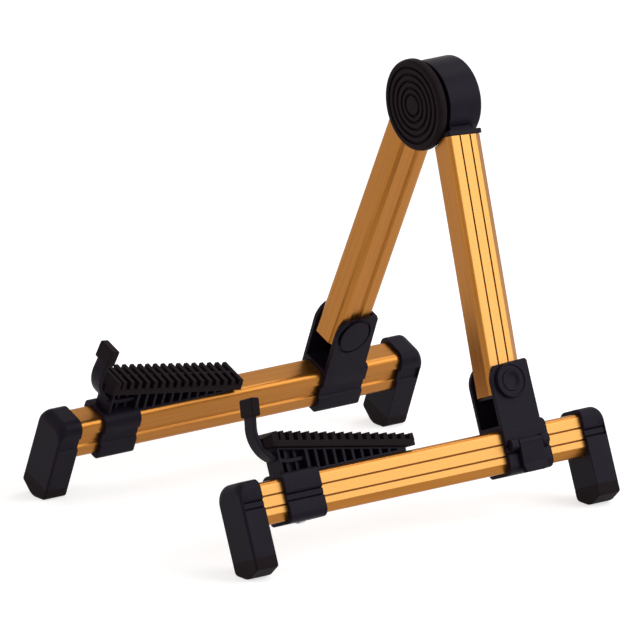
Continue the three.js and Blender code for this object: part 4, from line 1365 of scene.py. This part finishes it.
# Cradle pads. A moulded rubber strip lies on each wedge. Its teeth grip the
# guitar's edge and get lower to the rear, and one spine joins them. A bevelled
# nose rises at its front, to the height of the teeth.
strip_half_width = (pad_strip_high.x - pad_strip_low.x) / 2
strip_thickness = 0.0049
strip_round = 0.0010
strip_low_round = 0.0008
strip_side_round = 0.0006
tooth_count = 16
tooth_inset = 0.0145
tooth_pitch = 0.0075
tooth_widths = (0.0042, 0.0032)
tooth_front_height = 0.0072
tooth_rear_height = 0.0044
tooth_sink = 0.0010
nose_end = strip_front + 0.0110
nose_flat = 0.0030
nose_drop = 0.0034
nose_inner_bevel = (0.0060, 0.0060)
nose_outer_bevel = (0.0058, 0.0062)
nose_plan_top = rail_top + 0.0500
spine_half_width = 0.0011
spine_share = 0.86
spine_front = nose_end - 0.0040


def strip_top(y):
    return under_strip(y) + strip_thickness


def tooth_height(y):
    share = (y - strip_front) / (strip_rear - strip_front)
    return tooth_front_height + (tooth_rear_height - tooth_front_height) * share


first_tooth = strip_front + tooth_inset
last_tooth = first_tooth + tooth_pitch * (tooth_count - 1)
nose_top = strip_top(nose_end) + tooth_height(nose_end)
tooth_pad = bar(rounded([
    (strip_front, under_strip(strip_front), strip_low_round),
    (strip_rear, under_strip(strip_rear), strip_low_round),
    (strip_rear, strip_top(strip_rear), strip_round),
    (strip_front, strip_top(strip_front), strip_round),
], 4), *sideways(-strip_half_width, strip_half_width), along_x, strip_side_round, strip_side_round)
nose = bar(rounded([
    (strip_front, under_strip(strip_front), strip_low_round),
    (nose_end, under_strip(nose_end), 0),
    (nose_end, nose_top, strip_round),
    (nose_end - nose_flat, nose_top, strip_round),
    (strip_front, nose_top - nose_drop, strip_round),
], 4), *sideways(-strip_half_width, strip_half_width), along_x, strip_side_round, strip_side_round)
full_height = tooth_height(first_tooth) + tooth_sink
teeth = grown(
    rubber_bars, count=tooth_count, pitch=(0, tooth_pitch, strip_top(tooth_pitch) - strip_top(0)),
    first=(screw_x, first_tooth, strip_top(first_tooth) - tooth_sink),
    base_width=tooth_widths[0], top_width=tooth_widths[1], height=full_height,
    height_change=(tooth_height(tooth_pitch) - tooth_height(0)) / full_height,
    length=strip_half_width * 2 - slip_gap * 2, corner_radius=0.0004)
spine = bar([Vector(point) for point in (
    (spine_front, strip_top(nose_end) - tooth_sink * 2),
    (last_tooth, strip_top(last_tooth) - tooth_sink),
    (last_tooth, strip_top(last_tooth) + tooth_height(last_tooth) * spine_share),
    (spine_front, strip_top(nose_end) + tooth_height(nose_end) * spine_share))],
    *sideways(-spine_half_width, spine_half_width), along_x)
combine(tooth_pad, "UNION", nose, teeth, spine)
strip_inner, strip_outer = sideways(-strip_half_width, strip_half_width)
nose_plan = bar(rounded([
    (strip_inner + nose_inner_bevel[0], strip_front - overrun, 0.0015),
    (strip_outer - nose_outer_bevel[0], strip_front - overrun, 0.0015),
    (strip_outer + overrun, strip_front + nose_outer_bevel[1], 0.0020),
    (strip_outer + overrun, strip_rear + overrun, 0),
    (strip_inner - overrun, strip_rear + overrun, 0),
    (strip_inner - overrun, strip_front + nose_inner_bevel[1], 0.0020),
]), rail_top, nose_plan_top, Matrix.Identity(4))
combine(tooth_pad, "INTERSECT", nose_plan)
finish_both(tooth_pad, "tooth_pad", "rail", "cradle_pad", (rubber,))
